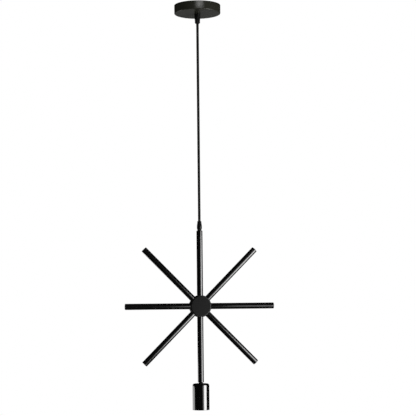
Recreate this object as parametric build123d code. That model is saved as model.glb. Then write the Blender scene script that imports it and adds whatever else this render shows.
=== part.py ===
from build123d import *
import math
import os

# Star pendant light. Millimetres, +Z up. The ceiling is the plane z = 0 and the light hangs down
# the Z axis. The star of tubes lies in the XZ plane and its matt hub disc faces -Y.

# Fits and clearances, radial unless the name says otherwise
THREAD_CLEARANCE = 0.05
TUBE_FIT = 0.05
CORD_CLEARANCE = 0.2
SHANK_CLEARANCE = 0.3
PLUNGER_FIT = 0.05
SHELL_FIT = 0.05
WIRE_GAP = 0.1
BEND_GAP = 0.3
NIPPLE_END_GAP = 0.3

# Cord: round, three cores side by side
CORD_RADIUS = 3.0
CORD_DROP = 464.0
CORE_RADIUS = 0.95
CORE_BEND_RADIUS = 2.4

# M10 lighting thread, hollow
NIPPLE_RADIUS = 5.0
NIPPLE_BORE_RADIUS = 3.5
LOCK_NUT_ACROSS_FLATS = 14.0
LOCK_NUT_THICKNESS = 3.0
LOCK_NUT_CHAMFER = 0.5

# Driver slots of the small screws
DRIVER_SLOT_WIDTH = 0.8
DRIVER_SLOT_DEPTH = 0.7

# Ceiling canopy
CANOPY_RADIUS = 54.0
CANOPY_HEIGHT = 20.0
CANOPY_WALL = 1.2
CANOPY_EDGE_RADIUS = 2.5

# Ceiling bracket, a bent strip whose feet lie on the ceiling
BRACKET_LENGTH = 92.0
BRACKET_WIDTH = 22.0
BRACKET_THICKNESS = 2.0
BRACKET_DROP = 10.0
BRACKET_BRIDGE_LENGTH = 36.0
BRACKET_BEND_RADIUS = 1.5
BRACKET_CORNER_RADIUS = 3.0
CEILING_SLOT_SPACING = 72.0
CEILING_SLOT_LENGTH = 14.0
CEILING_SLOT_WIDTH = 4.8
CANOPY_NIPPLE_STAND = 0.5
CORD_TAIL_STAND = 1.0
CORE_RUN_DEPTH = 2.2
CORE_ENTRY_RUN = 4.0

# Terminal block that lies on the canopy floor
BLOCK_WIDTH = 18.0
BLOCK_DEPTH = 17.0
BLOCK_BASE_HEIGHT = 6.0
BLOCK_TOWER_HEIGHT = 6.0
BLOCK_TOWER_RADIUS = 3.6
BLOCK_POLE_PITCH = 9.0
BLOCK_SCREW_PITCH = 8.0
BLOCK_FRONT_Y = 19.0
BLOCK_EDGE_RADIUS = 0.8
BARREL_RADIUS = 2.5
BARREL_BORE_RADIUS = 1.6
BARREL_AXIS_HEIGHT = 4.0
BARREL_END_INSET = 1.0
BLOCK_SCREW_RADIUS = 1.6
BLOCK_SCREW_LENGTH = 4.0

# Earth points
EARTH_SCREW_RADIUS = 1.75
EARTH_HEAD_RADIUS = 2.8
EARTH_HEAD_HEIGHT = 1.8
LUG_THICKNESS = 0.8
LUG_RADIUS = 3.2
LUG_BARREL_RADIUS = 1.5
LUG_BARREL_LENGTH = 5.0
LUG_REACH = 8.0
BRACKET_EARTH_X = 13.2
BRACKET_EARTH_Y = -5.0
BRACKET_EARTH_TAIL = 2.0
EARTH_CORE_RUN = 5.0
EARTH_CORE_RISE = 2.0

# Cord grips, both with twelve flutes on the tapered nut
GRIP_FLUTE_COUNT = 12
GRIP_FLUTE_RADIUS = 1.0
GRIP_FLUTE_DEPTH = 0.4
GRIP_FLUTE_SHARE = 0.8
GRIP_BOSS_RADIUS = 4.6
GRIP_BOSS_LENGTH = 4.0
GRIP_SOCKET_DEPTH = 6.0
GRIP_NOSE_WALL = 2.0
GRIP_NOSE_LENGTH = 1.4
GRIP_RING_LENGTH = 1.2
GRIP_POCKET_WALL = 0.75
GRIP_PARTING_GAP = 0.3
GRIP_EDGE_RADIUS = 0.4
COLLET_SLOT_COUNT = 4
COLLET_SLOT_WIDTH = 0.8
COLLET_SOLID_SHARE = 0.3
COLLET_GAP = 0.1
CANOPY_GRIP_BASE_LENGTH = 8.0
CANOPY_GRIP_NUT_LENGTH = 15.0
CANOPY_GRIP_SEAT_RADIUS = 7.2
CANOPY_GRIP_SHOULDER_RADIUS = 7.2
CANOPY_GRIP_SHOULDER_HEIGHT = 2.0
CANOPY_GRIP_PARTING_RADIUS = 6.9
CANOPY_GRIP_END_RADIUS = 5.8
CANOPY_GRIP_RING_RADIUS = 6.2
CANOPY_GRIP_NOSE_RADIUS = 4.6
STEM_GRIP_BASE_LENGTH = 8.0
STEM_GRIP_NUT_LENGTH = 11.0
STEM_GRIP_SEAT_RADIUS = 5.5
STEM_GRIP_SHOULDER_RADIUS = 5.9
STEM_GRIP_SHOULDER_HEIGHT = 4.5
STEM_GRIP_PARTING_RADIUS = 5.9
STEM_GRIP_END_RADIUS = 4.6
STEM_GRIP_RING_RADIUS = 4.9
STEM_GRIP_NOSE_RADIUS = 4.3

# Star frame: hub centre to tube end
TUBE_RADIUS = 7.0
TUBE_WALL = 1.0
STEM_REACH = 174.3
CROSS_ARM_REACH = 175.0
DIAGONAL_ARM_REACH = 185.3
STEM_NECK = 3.0
STEM_CORD_TAIL = 20.0
PLUG_THICKNESS = 1.6
PLUG_SPIGOT = 6.0
PLUG_EDGE_RADIUS = 0.5
BUSH_LENGTH = 12.0
NIPPLE_ENGAGEMENT = 10.0
ARM_ANGLES = {"ne": 45.0, "e": 90.0, "se": 135.0, "sw": 225.0, "w": 270.0, "nw": 315.0}
CROSS_ARMS = ("e", "w")

# Hub
HUB_RADIUS = 25.5
HUB_BODY_DEPTH = 15.4
HUB_EDGE_RADIUS = 3.0
HUB_CAVITY_RADIUS = 16.5
HUB_WEB = 3.0
HUB_SEAT_DISTANCE = 23.2
HUB_SEAT_CLEARANCE = 0.3
HUB_SEAT_COUNT = 8
HUB_COVER_RADIUS = 22.4
HUB_COVER_THICKNESS = 2.2
HUB_COVER_EDGE_RADIUS = 1.0
HUB_COVER_LIP = 1.5
HUB_COVER_LIP_WALL = 1.5
HUB_COVER_SKIN = 0.8
COVER_SCREW_RADIUS = 1.25
COVER_SCREW_COUNT = 4
COVER_TAPPED_DEPTH = 7.0
COVER_SCREW_TIP_GAP = 1.0
COVER_HEAD_RADIUS = 2.2
COVER_HEAD_HEIGHT = 1.4
COVER_KEY_ACROSS_FLATS = 1.6
COVER_KEY_DEPTH = 0.9
FRONT_SCREW_CIRCLE = 12.0
FRONT_SCREW_TURN = 45.0
BACK_SCREW_CIRCLE = 19.3
BACK_SCREW_TURN = 22.5
HUB_EARTH_DROP = 4.0
HUB_CORE_BEND_RISE = 6.0

# Lamp holder cup
HOLDER_RADIUS = 19.25
HOLDER_HEIGHT = 60.0
HOLDER_WALL = 1.2
HOLDER_SHOULDER_RADIUS = 4.5
HOLDER_LIP_RADIUS = 0.5
HOLDER_NECK = 2.7
HOLDER_NIPPLE_STAND = 1.0

# Socket bracket, the small bent strip inside the cup
SOCKET_BRACKET_LENGTH = 32.0
SOCKET_BRACKET_WIDTH = 12.0
SOCKET_BRACKET_THICKNESS = 1.5
SOCKET_BRACKET_DROP = 13.3
SOCKET_BRIDGE_LENGTH = 18.0
SOCKET_BEND_RADIUS = 0.8
SOCKET_CORNER_RADIUS = 2.0
SOCKET_SCREW_X = 13.3
SOCKET_SCREW_RADIUS = 1.25
SOCKET_SCREW_HEAD_RADIUS = 2.3
SOCKET_SCREW_HEAD_HEIGHT = 1.6
SOCKET_SCREW_LENGTH = 6.0

# E27 socket
SOCKET_BODY_GAP = 0.5
SOCKET_MOUTH_INSET = 3.0
SOCKET_MOUTH_RADIUS = 14.3
SOCKET_MOUTH_DEPTH = 6.0
SOCKET_FLOOR = 7.0
CONTACT_CHAMBER_RADIUS = 10.8
CONTACT_CHAMBER_DEPTH = 8.0
SOCKET_EDGE_RADIUS = 0.8
SHELL_BORE_RADIUS = 13.3
SHELL_WALL = 0.4
SHELL_FLANGE_RADIUS = 11.3
CONTACT_HEAD_RADIUS = 4.0
CONTACT_HEAD_HEIGHT = 1.4
CONTACT_DOME_RADIUS = 0.6
CONTACT_STEM_RADIUS = 1.85
CONTACT_TRAVEL = 1.5
CONTACT_STEM_LENGTH = 8.0
SPRING_RADIUS = 2.9
SPRING_WIRE_RADIUS = 0.25
SPRING_TURNS = 3
SPRING_SEAT_GAP = 0.15
PLATE_THICKNESS = 0.8
PLATE_RADIUS = 4.2
PLATE_HOLE_RADIUS = 2.2
TERMINAL_WIDTH = 6.0
TERMINAL_DEPTH = 5.0
TERMINAL_HEIGHT = 5.0
TERMINAL_INNER_Y = 6.6
TERMINAL_PIN_RADIUS = 0.8
LIVE_PIN_Y = 8.8
NEUTRAL_PIN_Y = 12.3
TERMINAL_SCREW_RADIUS = 1.3
TERMINAL_SCREW_HEAD_RADIUS = 2.0
TERMINAL_SCREW_HEAD_HEIGHT = 1.2
TERMINAL_SCREW_LENGTH = 2.5
TERMINAL_CORE_HEIGHT = 2.0
TERMINAL_CORE_RUN = 3.6
CORE_EXIT_RUN = 2.0

# Levels that follow from the sizes above
CANOPY_FACE_Z = -CANOPY_HEIGHT
CANOPY_FLOOR_Z = CANOPY_FACE_Z + CANOPY_WALL
BRIDGE_TOP_Z = -BRACKET_DROP
BRIDGE_BOTTOM_Z = BRIDGE_TOP_Z - BRACKET_THICKNESS
CANOPY_NIPPLE_TOP_Z = BRIDGE_TOP_Z + LOCK_NUT_THICKNESS + CANOPY_NIPPLE_STAND
CANOPY_NIPPLE_END_Z = CANOPY_FACE_Z - GRIP_SOCKET_DEPTH + NIPPLE_END_GAP
CORD_TAIL_TOP_Z = CANOPY_NIPPLE_TOP_Z + CORD_TAIL_STAND
CANOPY_GRIP_END_Z = CANOPY_FACE_Z - CANOPY_GRIP_BASE_LENGTH - CANOPY_GRIP_NUT_LENGTH
CORD_PIVOT_Z = CANOPY_GRIP_END_Z - BEND_GAP - CORD_RADIUS
CORD_LOWER_Z = CANOPY_GRIP_END_Z - CORD_DROP
STEM_GRIP_SEAT_Z = CORD_LOWER_Z - STEM_GRIP_NUT_LENGTH - STEM_GRIP_BASE_LENGTH
STEM_NIPPLE_TOP_Z = STEM_GRIP_SEAT_Z + GRIP_SOCKET_DEPTH - NIPPLE_END_GAP
STEM_TOP_Z = STEM_GRIP_SEAT_Z - STEM_NECK
STEM_CORD_END_Z = STEM_TOP_Z - STEM_CORD_TAIL
HUB_Z = STEM_TOP_Z - STEM_REACH
STEM_BOTTOM_Z = HUB_Z - STEM_REACH
HOLDER_TOP_Z = STEM_BOTTOM_Z - HOLDER_NECK
HOLDER_CEILING_Z = HOLDER_TOP_Z - HOLDER_WALL
HOLDER_BOTTOM_Z = HOLDER_TOP_Z - HOLDER_HEIGHT
HOLDER_NUT_TOP_Z = HOLDER_CEILING_Z - SOCKET_BRACKET_THICKNESS
HOLDER_NIPPLE_END_Z = HOLDER_NUT_TOP_Z - LOCK_NUT_THICKNESS - HOLDER_NIPPLE_STAND
SOCKET_TOP_Z = HOLDER_CEILING_Z - SOCKET_BRACKET_DROP - SOCKET_BRACKET_THICKNESS
SOCKET_BOTTOM_Z = HOLDER_BOTTOM_Z + SOCKET_MOUTH_INSET
SHELL_BOTTOM_Z = SOCKET_BOTTOM_Z + SOCKET_MOUTH_DEPTH
SOCKET_FLOOR_Z = SOCKET_TOP_Z - SOCKET_FLOOR
SHELL_TOP_Z = SOCKET_FLOOR_Z - CONTACT_CHAMBER_DEPTH
CONTACT_HEAD_TOP_Z = SHELL_TOP_Z + CONTACT_HEAD_HEIGHT + CONTACT_TRAVEL

CORE_PITCH = 2 * CORE_RADIUS + WIRE_GAP
HOLE_RADIUS = NIPPLE_RADIUS + SHANK_CLEARANCE
TAPPED_RADIUS = NIPPLE_RADIUS + THREAD_CLEARANCE
HUB_HALF_DEPTH = HUB_BODY_DEPTH / 2


def tube(outer, inner, low, high):
    """A round tube along Z."""
    return Pos(0, 0, low) * extrude(Circle(outer) - Circle(inner), high - low)


def rod(radius, low, high):
    """A round bar along Z."""
    return Pos(0, 0, low) * extrude(Circle(radius), high - low)


def turned(points, radii):
    """A part turned about Z from the outline (radius, height), with one corner radius a point."""
    outline = FilletPolyline(*points, radius=radii, close=True)
    return revolve(Plane.XZ * make_face(outline.edges()), Axis.Z)


def bent_strip(length, width, thickness, drop, bridge, bend, corner):
    """A strip bent to a bridge: the tops of its feet are at z = 0, the bridge lies lower."""
    end, leg = length / 2, bridge / 2
    right = [(end, 0, 0), (leg, 0, bend + thickness), (leg, -drop, bend)]
    left = [(-x, z, r) for x, z, r in reversed(right)]
    back_left = [(-end, -thickness, 0), (-leg - thickness, -thickness, bend)]
    back_left.append((-leg - thickness, -drop - thickness, bend + thickness))
    back_right = [(-x, z, r) for x, z, r in reversed(back_left)]
    corners = right + left + back_left + back_right
    points, radii = [(x, z) for x, z, r in corners], [r for x, z, r in corners]
    outline = FilletPolyline(*points, radius=radii, close=True)
    strip = extrude(Plane.XZ * make_face(outline.edges()), width / 2, both=True)
    uprights = strip.edges().filter_by(Axis.Z).group_by(Axis.X)
    ends = uprights[0] + uprights[-1]
    return fillet(ends, corner)


def lock_nut(low):
    """A thin hexagon nut on the Z axis, tapped for the nipple."""
    corner = LOCK_NUT_ACROSS_FLATS / math.sqrt(3)
    height, chamfer = LOCK_NUT_THICKNESS, LOCK_NUT_CHAMFER
    section = [(0, 0), (corner - chamfer, 0), (corner, chamfer), (corner, height - chamfer)]
    section += [(corner - chamfer, height), (0, height)]
    blank = turned(section, 0)
    hexagon = extrude(RegularPolygon(LOCK_NUT_ACROSS_FLATS / 2, 6, major_radius=False), height)
    return Pos(0, 0, low) * (blank & hexagon) - rod(TAPPED_RADIUS, low, low + height)


def nipple(low, high):
    """A length of hollow threaded tube on the Z axis."""
    return tube(NIPPLE_RADIUS, NIPPLE_BORE_RADIUS, low, high)


def driver_slot(top):
    """The cut for a flat driver, across a screw whose top is at a height."""
    return Pos(0, 0, top) * Box(2 * LOCK_NUT_ACROSS_FLATS, DRIVER_SLOT_WIDTH, 2 * DRIVER_SLOT_DEPTH)


def headed_screw(shank, head, head_height, length):
    """A plain round-headed screw that points down: the underside of its head is at z = 0."""
    rounding = head_height / 2
    points = [(0, -length), (shank, -length), (shank, 0), (head, 0), (head, head_height), (0, head_height)]
    return turned(points, [0, 0, 0, 0, rounding, 0])


def slotted_screw(shank, head, head_height, length):
    """A headed screw with a driver slot."""
    return headed_screw(shank, head, head_height, length) - driver_slot(head_height)


def cover_screw(length):
    """A cover screw with a hexagon socket, pointing down."""
    screw = headed_screw(COVER_SCREW_RADIUS, COVER_HEAD_RADIUS, COVER_HEAD_HEIGHT, length)
    key = extrude(RegularPolygon(COVER_KEY_ACROSS_FLATS / 2, 6, major_radius=False), COVER_KEY_DEPTH)
    return screw - Pos(0, 0, COVER_HEAD_HEIGHT - COVER_KEY_DEPTH) * key


def core_wire(points):
    """An insulated core along straight runs joined by arcs."""
    path = FilletPolyline(*points, radius=CORE_BEND_RADIUS)
    start = path.edges().sort_by_distance(Vector(*points[0]))[0]
    section = Plane(origin=start @ 0, z_dir=start % 0) * Circle(CORE_RADIUS)
    return sweep(section, path=path)


def grip_base(length, seat, shoulder, shoulder_height, parting):
    """The lower half of a cord grip, from its seat at z = 0 upwards, with the boss for the nut."""
    bore = CORD_RADIUS + CORD_CLEARANCE
    boss_top = length + GRIP_BOSS_LENGTH
    edge = GRIP_EDGE_RADIUS
    points = [(TAPPED_RADIUS, 0), (seat, 0), (shoulder, shoulder_height), (parting, length)]
    points += [(GRIP_BOSS_RADIUS, length), (GRIP_BOSS_RADIUS, boss_top), (bore, boss_top)]
    points += [(bore, GRIP_SOCKET_DEPTH), (TAPPED_RADIUS, GRIP_SOCKET_DEPTH)]
    return turned(points, [0, edge, 0, edge, 0, 0, 0, 0, 0])


def pocket_radius(height, nut_length):
    """Inner radius of the nut's collet pocket, a cone that closes on the cord."""
    start = GRIP_BOSS_RADIUS + THREAD_CLEARANCE
    finish = CORD_RADIUS + GRIP_POCKET_WALL
    cone = nut_length - GRIP_NOSE_WALL - GRIP_BOSS_LENGTH
    return start + (finish - start) * (height - GRIP_BOSS_LENGTH) / cone


def grip_nut(length, parting, end, ring, nose):
    """The tapered, fluted nut of a cord grip, from the parting line at z = 0 upwards."""
    bore = CORD_RADIUS + CORD_CLEARANCE
    pocket_top = length - GRIP_NOSE_WALL
    ring_top = length - GRIP_NOSE_LENGTH
    ring_low = ring_top - GRIP_RING_LENGTH
    start = pocket_radius(GRIP_BOSS_LENGTH, length)
    edge = GRIP_EDGE_RADIUS
    points = [(start, GRIP_PARTING_GAP), (parting, GRIP_PARTING_GAP), (end, ring_low), (ring, ring_low)]
    points += [(ring, ring_top), (nose, length), (bore, length), (bore, pocket_top)]
    points += [(pocket_radius(pocket_top, length), pocket_top), (start, GRIP_BOSS_LENGTH)]
    nut = turned(points, [0, edge, 0, 0, edge, edge, 0, 0, 0, 0])
    lean = math.degrees(math.atan2(parting - end, ring_low))
    middle = (parting + end) / 2 + GRIP_FLUTE_RADIUS - GRIP_FLUTE_DEPTH
    groove = Cylinder(GRIP_FLUTE_RADIUS, GRIP_FLUTE_SHARE * ring_low)
    flute = Pos(middle, 0, ring_low / 2) * Rot(0, -lean, 0) * groove
    for turn in range(GRIP_FLUTE_COUNT):
        nut -= Rot(0, 0, 360 * turn / GRIP_FLUTE_COUNT) * flute
    return nut


def grip_collet(nut_length):
    """The split ring in a grip that closes on the cord, in the nut's own heights."""
    bore = CORD_RADIUS + COLLET_GAP / 2
    low = GRIP_BOSS_LENGTH + COLLET_GAP
    high = nut_length - GRIP_NOSE_WALL - COLLET_GAP
    low_radius = pocket_radius(low, nut_length) - COLLET_GAP
    high_radius = pocket_radius(high, nut_length) - COLLET_GAP
    collet = turned([(bore, low), (low_radius, low), (high_radius, high), (bore, high)], 0)
    slot_low = low + COLLET_SOLID_SHARE * (high - low)
    slot = Box(4 * GRIP_BOSS_RADIUS, COLLET_SLOT_WIDTH, nut_length - slot_low)
    slot = Pos(0, 0, (slot_low + nut_length) / 2) * slot
    for turn in range(COLLET_SLOT_COUNT // 2):
        collet -= Rot(0, 0, 360 * turn / COLLET_SLOT_COUNT) * slot
    return collet


def out_along(angle, shape):
    """Turns a shape built up the Z axis so that it points out of the hub at an angle from the top."""
    return Pos(0, 0, HUB_Z) * Rot(0, angle, 0) * shape


def round_hub(shape):
    """Moves a shape built round the Z axis to the hub, so that its +Z points to the back, +Y."""
    return Pos(0, 0, HUB_Z) * Rot(-90, 0, 0) * shape


def on_circle(shape, radius, count, first):
    """Copies of a shape round the Z axis."""
    turns = [first + 360 * step / count for step in range(count)]
    return [Rot(0, 0, turn) * Pos(radius, 0, 0) * shape for turn in turns]


# Ceiling end
def canopy_cup():
    inner, rounding = CANOPY_RADIUS - CANOPY_WALL, CANOPY_EDGE_RADIUS
    points = [(HOLE_RADIUS, CANOPY_FACE_Z), (CANOPY_RADIUS, CANOPY_FACE_Z), (CANOPY_RADIUS, 0)]
    points += [(inner, 0), (inner, CANOPY_FLOOR_Z), (HOLE_RADIUS, CANOPY_FLOOR_Z)]
    return turned(points, [0, rounding, 0, 0, rounding - CANOPY_WALL, 0])


def ceiling_bracket():
    strip = bent_strip(BRACKET_LENGTH, BRACKET_WIDTH, BRACKET_THICKNESS, BRACKET_DROP, BRACKET_BRIDGE_LENGTH,
                       BRACKET_BEND_RADIUS, BRACKET_CORNER_RADIUS)
    slot = extrude(SlotOverall(CEILING_SLOT_LENGTH, CEILING_SLOT_WIDTH), BRACKET_THICKNESS, both=True)
    for side in (-1, 1):
        strip -= Pos(side * CEILING_SLOT_SPACING / 2, 0, 0) * slot
    strip -= rod(HOLE_RADIUS, BRIDGE_BOTTOM_Z, BRIDGE_TOP_Z)
    tapped = rod(EARTH_SCREW_RADIUS + THREAD_CLEARANCE, BRIDGE_BOTTOM_Z, BRIDGE_TOP_Z)
    return strip - Pos(BRACKET_EARTH_X, BRACKET_EARTH_Y, 0) * tapped


def bracket_lock_nuts():
    return [lock_nut(BRIDGE_TOP_Z), lock_nut(BRIDGE_BOTTOM_Z - LOCK_NUT_THICKNESS)]


def under_canopy(shape):
    """Hangs a grip part, built upwards, under the canopy face."""
    return Pos(0, 0, CANOPY_FACE_Z) * Rot(180, 0, 0) * shape


def canopy_grip():
    base = grip_base(CANOPY_GRIP_BASE_LENGTH, CANOPY_GRIP_SEAT_RADIUS, CANOPY_GRIP_SHOULDER_RADIUS,
                     CANOPY_GRIP_SHOULDER_HEIGHT, CANOPY_GRIP_PARTING_RADIUS)
    nut = grip_nut(CANOPY_GRIP_NUT_LENGTH, CANOPY_GRIP_PARTING_RADIUS, CANOPY_GRIP_END_RADIUS,
                   CANOPY_GRIP_RING_RADIUS, CANOPY_GRIP_NOSE_RADIUS)
    parting = Pos(0, 0, CANOPY_GRIP_BASE_LENGTH)
    return {
        "canopy_grip_base": under_canopy(base),
        "canopy_grip_nut": under_canopy(parting * nut),
        "canopy_grip_collet": under_canopy(parting * grip_collet(CANOPY_GRIP_NUT_LENGTH)),
    }


def terminal_block():
    """The two-pole block, its barrels and their screws, on the canopy floor."""
    height = BLOCK_BASE_HEIGHT + BLOCK_TOWER_HEIGHT
    middle_y = BLOCK_FRONT_Y + BLOCK_DEPTH / 2
    base = Box(BLOCK_WIDTH, BLOCK_DEPTH, BLOCK_BASE_HEIGHT, align=(Align.CENTER, Align.CENTER, Align.MIN))
    body = fillet(base.edges().filter_by(Axis.Z), BLOCK_EDGE_RADIUS)
    barrels, screws = [], []
    length = BLOCK_DEPTH - 2 * BARREL_END_INSET
    barrel = Rot(90, 0, 0) * (Cylinder(BARREL_RADIUS, length) - Cylinder(BARREL_BORE_RADIUS, length))
    tapped = rod(BLOCK_SCREW_RADIUS + THREAD_CLEARANCE, 0, BARREL_RADIUS)
    screw = rod(BLOCK_SCREW_RADIUS, 0, BLOCK_SCREW_LENGTH) - driver_slot(BLOCK_SCREW_LENGTH)
    for pole in (-1, 1):
        x = pole * BLOCK_POLE_PITCH / 2
        seats = [(x, side * BLOCK_SCREW_PITCH / 2) for side in (-1, 1)]
        for seat_x, seat_y in seats:
            body += Pos(seat_x, seat_y, 0) * rod(BLOCK_TOWER_RADIUS, 0, height)
        pole_axis = Pos(x, 0, BARREL_AXIS_HEIGHT)
        body -= pole_axis * Rot(90, 0, 0) * Cylinder(BARREL_RADIUS + TUBE_FIT, BLOCK_DEPTH)
        pole_barrel = pole_axis * barrel
        for seat_x, seat_y in seats:
            well = rod(BLOCK_SCREW_RADIUS + CORD_CLEARANCE, BARREL_AXIS_HEIGHT, height)
            body -= Pos(seat_x, seat_y, 0) * well
            pole_barrel -= Pos(seat_x, seat_y, BARREL_AXIS_HEIGHT) * tapped
            screw_low = BARREL_AXIS_HEIGHT + BARREL_BORE_RADIUS
            screws.append(Pos(seat_x, middle_y + seat_y, CANOPY_FLOOR_Z + screw_low) * screw)
        barrels.append(Pos(0, middle_y, CANOPY_FLOOR_Z) * pole_barrel)
    body = Pos(0, middle_y, CANOPY_FLOOR_Z) * body
    return {"terminal_block": body, "terminal_barrels": barrels, "terminal_block_screws": screws}


def earth_lug():
    """A ring lug flat at z = 0 round the Z axis, with its crimp barrel along +X."""
    ring = rod(LUG_RADIUS, 0, LUG_THICKNESS)
    neck = Pos(LUG_REACH / 2, 0, LUG_THICKNESS / 2) * Box(LUG_REACH, 2 * LUG_BARREL_RADIUS, LUG_THICKNESS)
    barrel = Rot(0, 90, 0) * rod(LUG_BARREL_RADIUS, LUG_REACH, LUG_REACH + LUG_BARREL_LENGTH)
    barrel = Pos(0, 0, LUG_BARREL_RADIUS) * barrel
    hole = rod(EARTH_SCREW_RADIUS + THREAD_CLEARANCE, 0, LUG_THICKNESS)
    return ring + neck + barrel - hole


def earth_screw(length):
    return slotted_screw(EARTH_SCREW_RADIUS, EARTH_HEAD_RADIUS, EARTH_HEAD_HEIGHT, length)


def bracket_earth():
    """Earth screw and lug on the bridge of the ceiling bracket; the lug's barrel points to -Y."""
    place = Pos(BRACKET_EARTH_X, BRACKET_EARTH_Y, BRIDGE_TOP_Z)
    length = LUG_THICKNESS + BRACKET_THICKNESS + BRACKET_EARTH_TAIL
    return {
        "bracket_earth_lug": place * Rot(0, 0, -90) * earth_lug(),
        "bracket_earth_screw": place * Pos(0, 0, LUG_THICKNESS) * earth_screw(length),
    }


def canopy_cores():
    """The three stripped cores from the cord's tail to the terminal block and the earth lug."""
    run_z = -CORE_RUN_DEPTH
    entry_z = CANOPY_FLOOR_Z + BARREL_AXIS_HEIGHT
    over_y = BRACKET_WIDTH / 2
    cores = {}
    for name, side in (("canopy_live_core", -1), ("canopy_neutral_core", 1)):
        x, pole_x = side * CORE_PITCH, side * BLOCK_POLE_PITCH / 2
        points = [(x, 0, CORD_TAIL_TOP_Z), (x, 0, run_z), (x, over_y, run_z)]
        points += [(pole_x, BLOCK_FRONT_Y - CORE_ENTRY_RUN, entry_z)]
        points += [(pole_x, BLOCK_FRONT_Y + CORE_ENTRY_RUN, entry_z)]
        cores[name] = core_wire(points)
    lug_y = BRACKET_EARTH_Y - LUG_REACH - LUG_BARREL_LENGTH
    lug_z = BRIDGE_TOP_Z + LUG_BARREL_RADIUS
    points = [(0, 0, CORD_TAIL_TOP_Z), (0, 0, run_z), (0, -BRACKET_WIDTH / 2, run_z)]
    turn_y = lug_y - EARTH_CORE_RUN
    points += [(BRACKET_EARTH_X / 2, turn_y - EARTH_CORE_RISE, lug_z + EARTH_CORE_RISE)]
    points += [(BRACKET_EARTH_X, turn_y, lug_z), (BRACKET_EARTH_X, lug_y, lug_z)]
    cores["canopy_earth_core"] = core_wire(points)
    return cores


# Cord
def pendant_cord():
    """The straight run of cord, hollowed at its top so that it turns round the ball at the pivot."""
    cord = rod(CORD_RADIUS, CORD_LOWER_Z, CORD_PIVOT_Z)
    return cord - Pos(0, 0, CORD_PIVOT_Z) * Sphere(CORD_RADIUS + BEND_GAP)


def cord_bend():
    return Pos(0, 0, CORD_PIVOT_Z) * Sphere(CORD_RADIUS)


# Star frame
def stem_grip():
    base = grip_base(STEM_GRIP_BASE_LENGTH, STEM_GRIP_SEAT_RADIUS, STEM_GRIP_SHOULDER_RADIUS,
                     STEM_GRIP_SHOULDER_HEIGHT, STEM_GRIP_PARTING_RADIUS)
    nut = grip_nut(STEM_GRIP_NUT_LENGTH, STEM_GRIP_PARTING_RADIUS, STEM_GRIP_END_RADIUS,
                   STEM_GRIP_RING_RADIUS, STEM_GRIP_NOSE_RADIUS)
    seat = Pos(0, 0, STEM_GRIP_SEAT_Z)
    parting = seat * Pos(0, 0, STEM_GRIP_BASE_LENGTH)
    return {
        "stem_grip_base": seat * base,
        "stem_grip_nut": parting * nut,
        "stem_grip_collet": parting * grip_collet(STEM_GRIP_NUT_LENGTH),
    }


def frame_tubes():
    """Two stems and six free arms, each from its flat seat on the hub."""
    inner = TUBE_RADIUS - TUBE_WALL
    stem = tube(TUBE_RADIUS, inner, HUB_SEAT_DISTANCE, STEM_REACH)
    tubes = {"upper_stem": out_along(0, stem), "lower_stem": out_along(180, stem)}
    for name, angle in ARM_ANGLES.items():
        reach = CROSS_ARM_REACH if name in CROSS_ARMS else DIAGONAL_ARM_REACH
        arm = tube(TUBE_RADIUS, inner, HUB_SEAT_DISTANCE, reach - PLUG_THICKNESS)
        tubes["arm_" + name] = out_along(angle, arm)
    return tubes


def arm_end_plugs():
    """Closed ends, flush with the tubes, each with a spigot inside its tube."""
    spigot = TUBE_RADIUS - TUBE_WALL - TUBE_FIT
    low, high = -PLUG_SPIGOT, PLUG_THICKNESS
    points = [(0, low), (spigot, low), (spigot, 0), (TUBE_RADIUS, 0), (TUBE_RADIUS, high), (0, high)]
    plug = turned(points, [0, 0, 0, 0, PLUG_EDGE_RADIUS, 0])
    plugs = []
    for name, angle in ARM_ANGLES.items():
        reach = CROSS_ARM_REACH if name in CROSS_ARMS else DIAGONAL_ARM_REACH
        plugs.append(out_along(angle, Pos(0, 0, reach - PLUG_THICKNESS) * plug))
    return plugs


def tube_bushes():
    """Tapped bushes in the hub ends of all eight tubes and in the outer ends of the stems."""
    outer = TUBE_RADIUS - TUBE_WALL - TUBE_FIT
    near = tube(outer, TAPPED_RADIUS, HUB_SEAT_DISTANCE, HUB_SEAT_DISTANCE + BUSH_LENGTH)
    far = tube(outer, TAPPED_RADIUS, STEM_REACH - BUSH_LENGTH, STEM_REACH)
    bushes = [out_along(360 * step / HUB_SEAT_COUNT, near) for step in range(HUB_SEAT_COUNT)]
    return bushes + [out_along(0, far), out_along(180, far)]


def hub_nipples():
    inner_end = HUB_CAVITY_RADIUS + NIPPLE_END_GAP
    one = nipple(inner_end, HUB_SEAT_DISTANCE + NIPPLE_ENGAGEMENT)
    return [out_along(360 * step / HUB_SEAT_COUNT, one) for step in range(HUB_SEAT_COUNT)]


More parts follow.
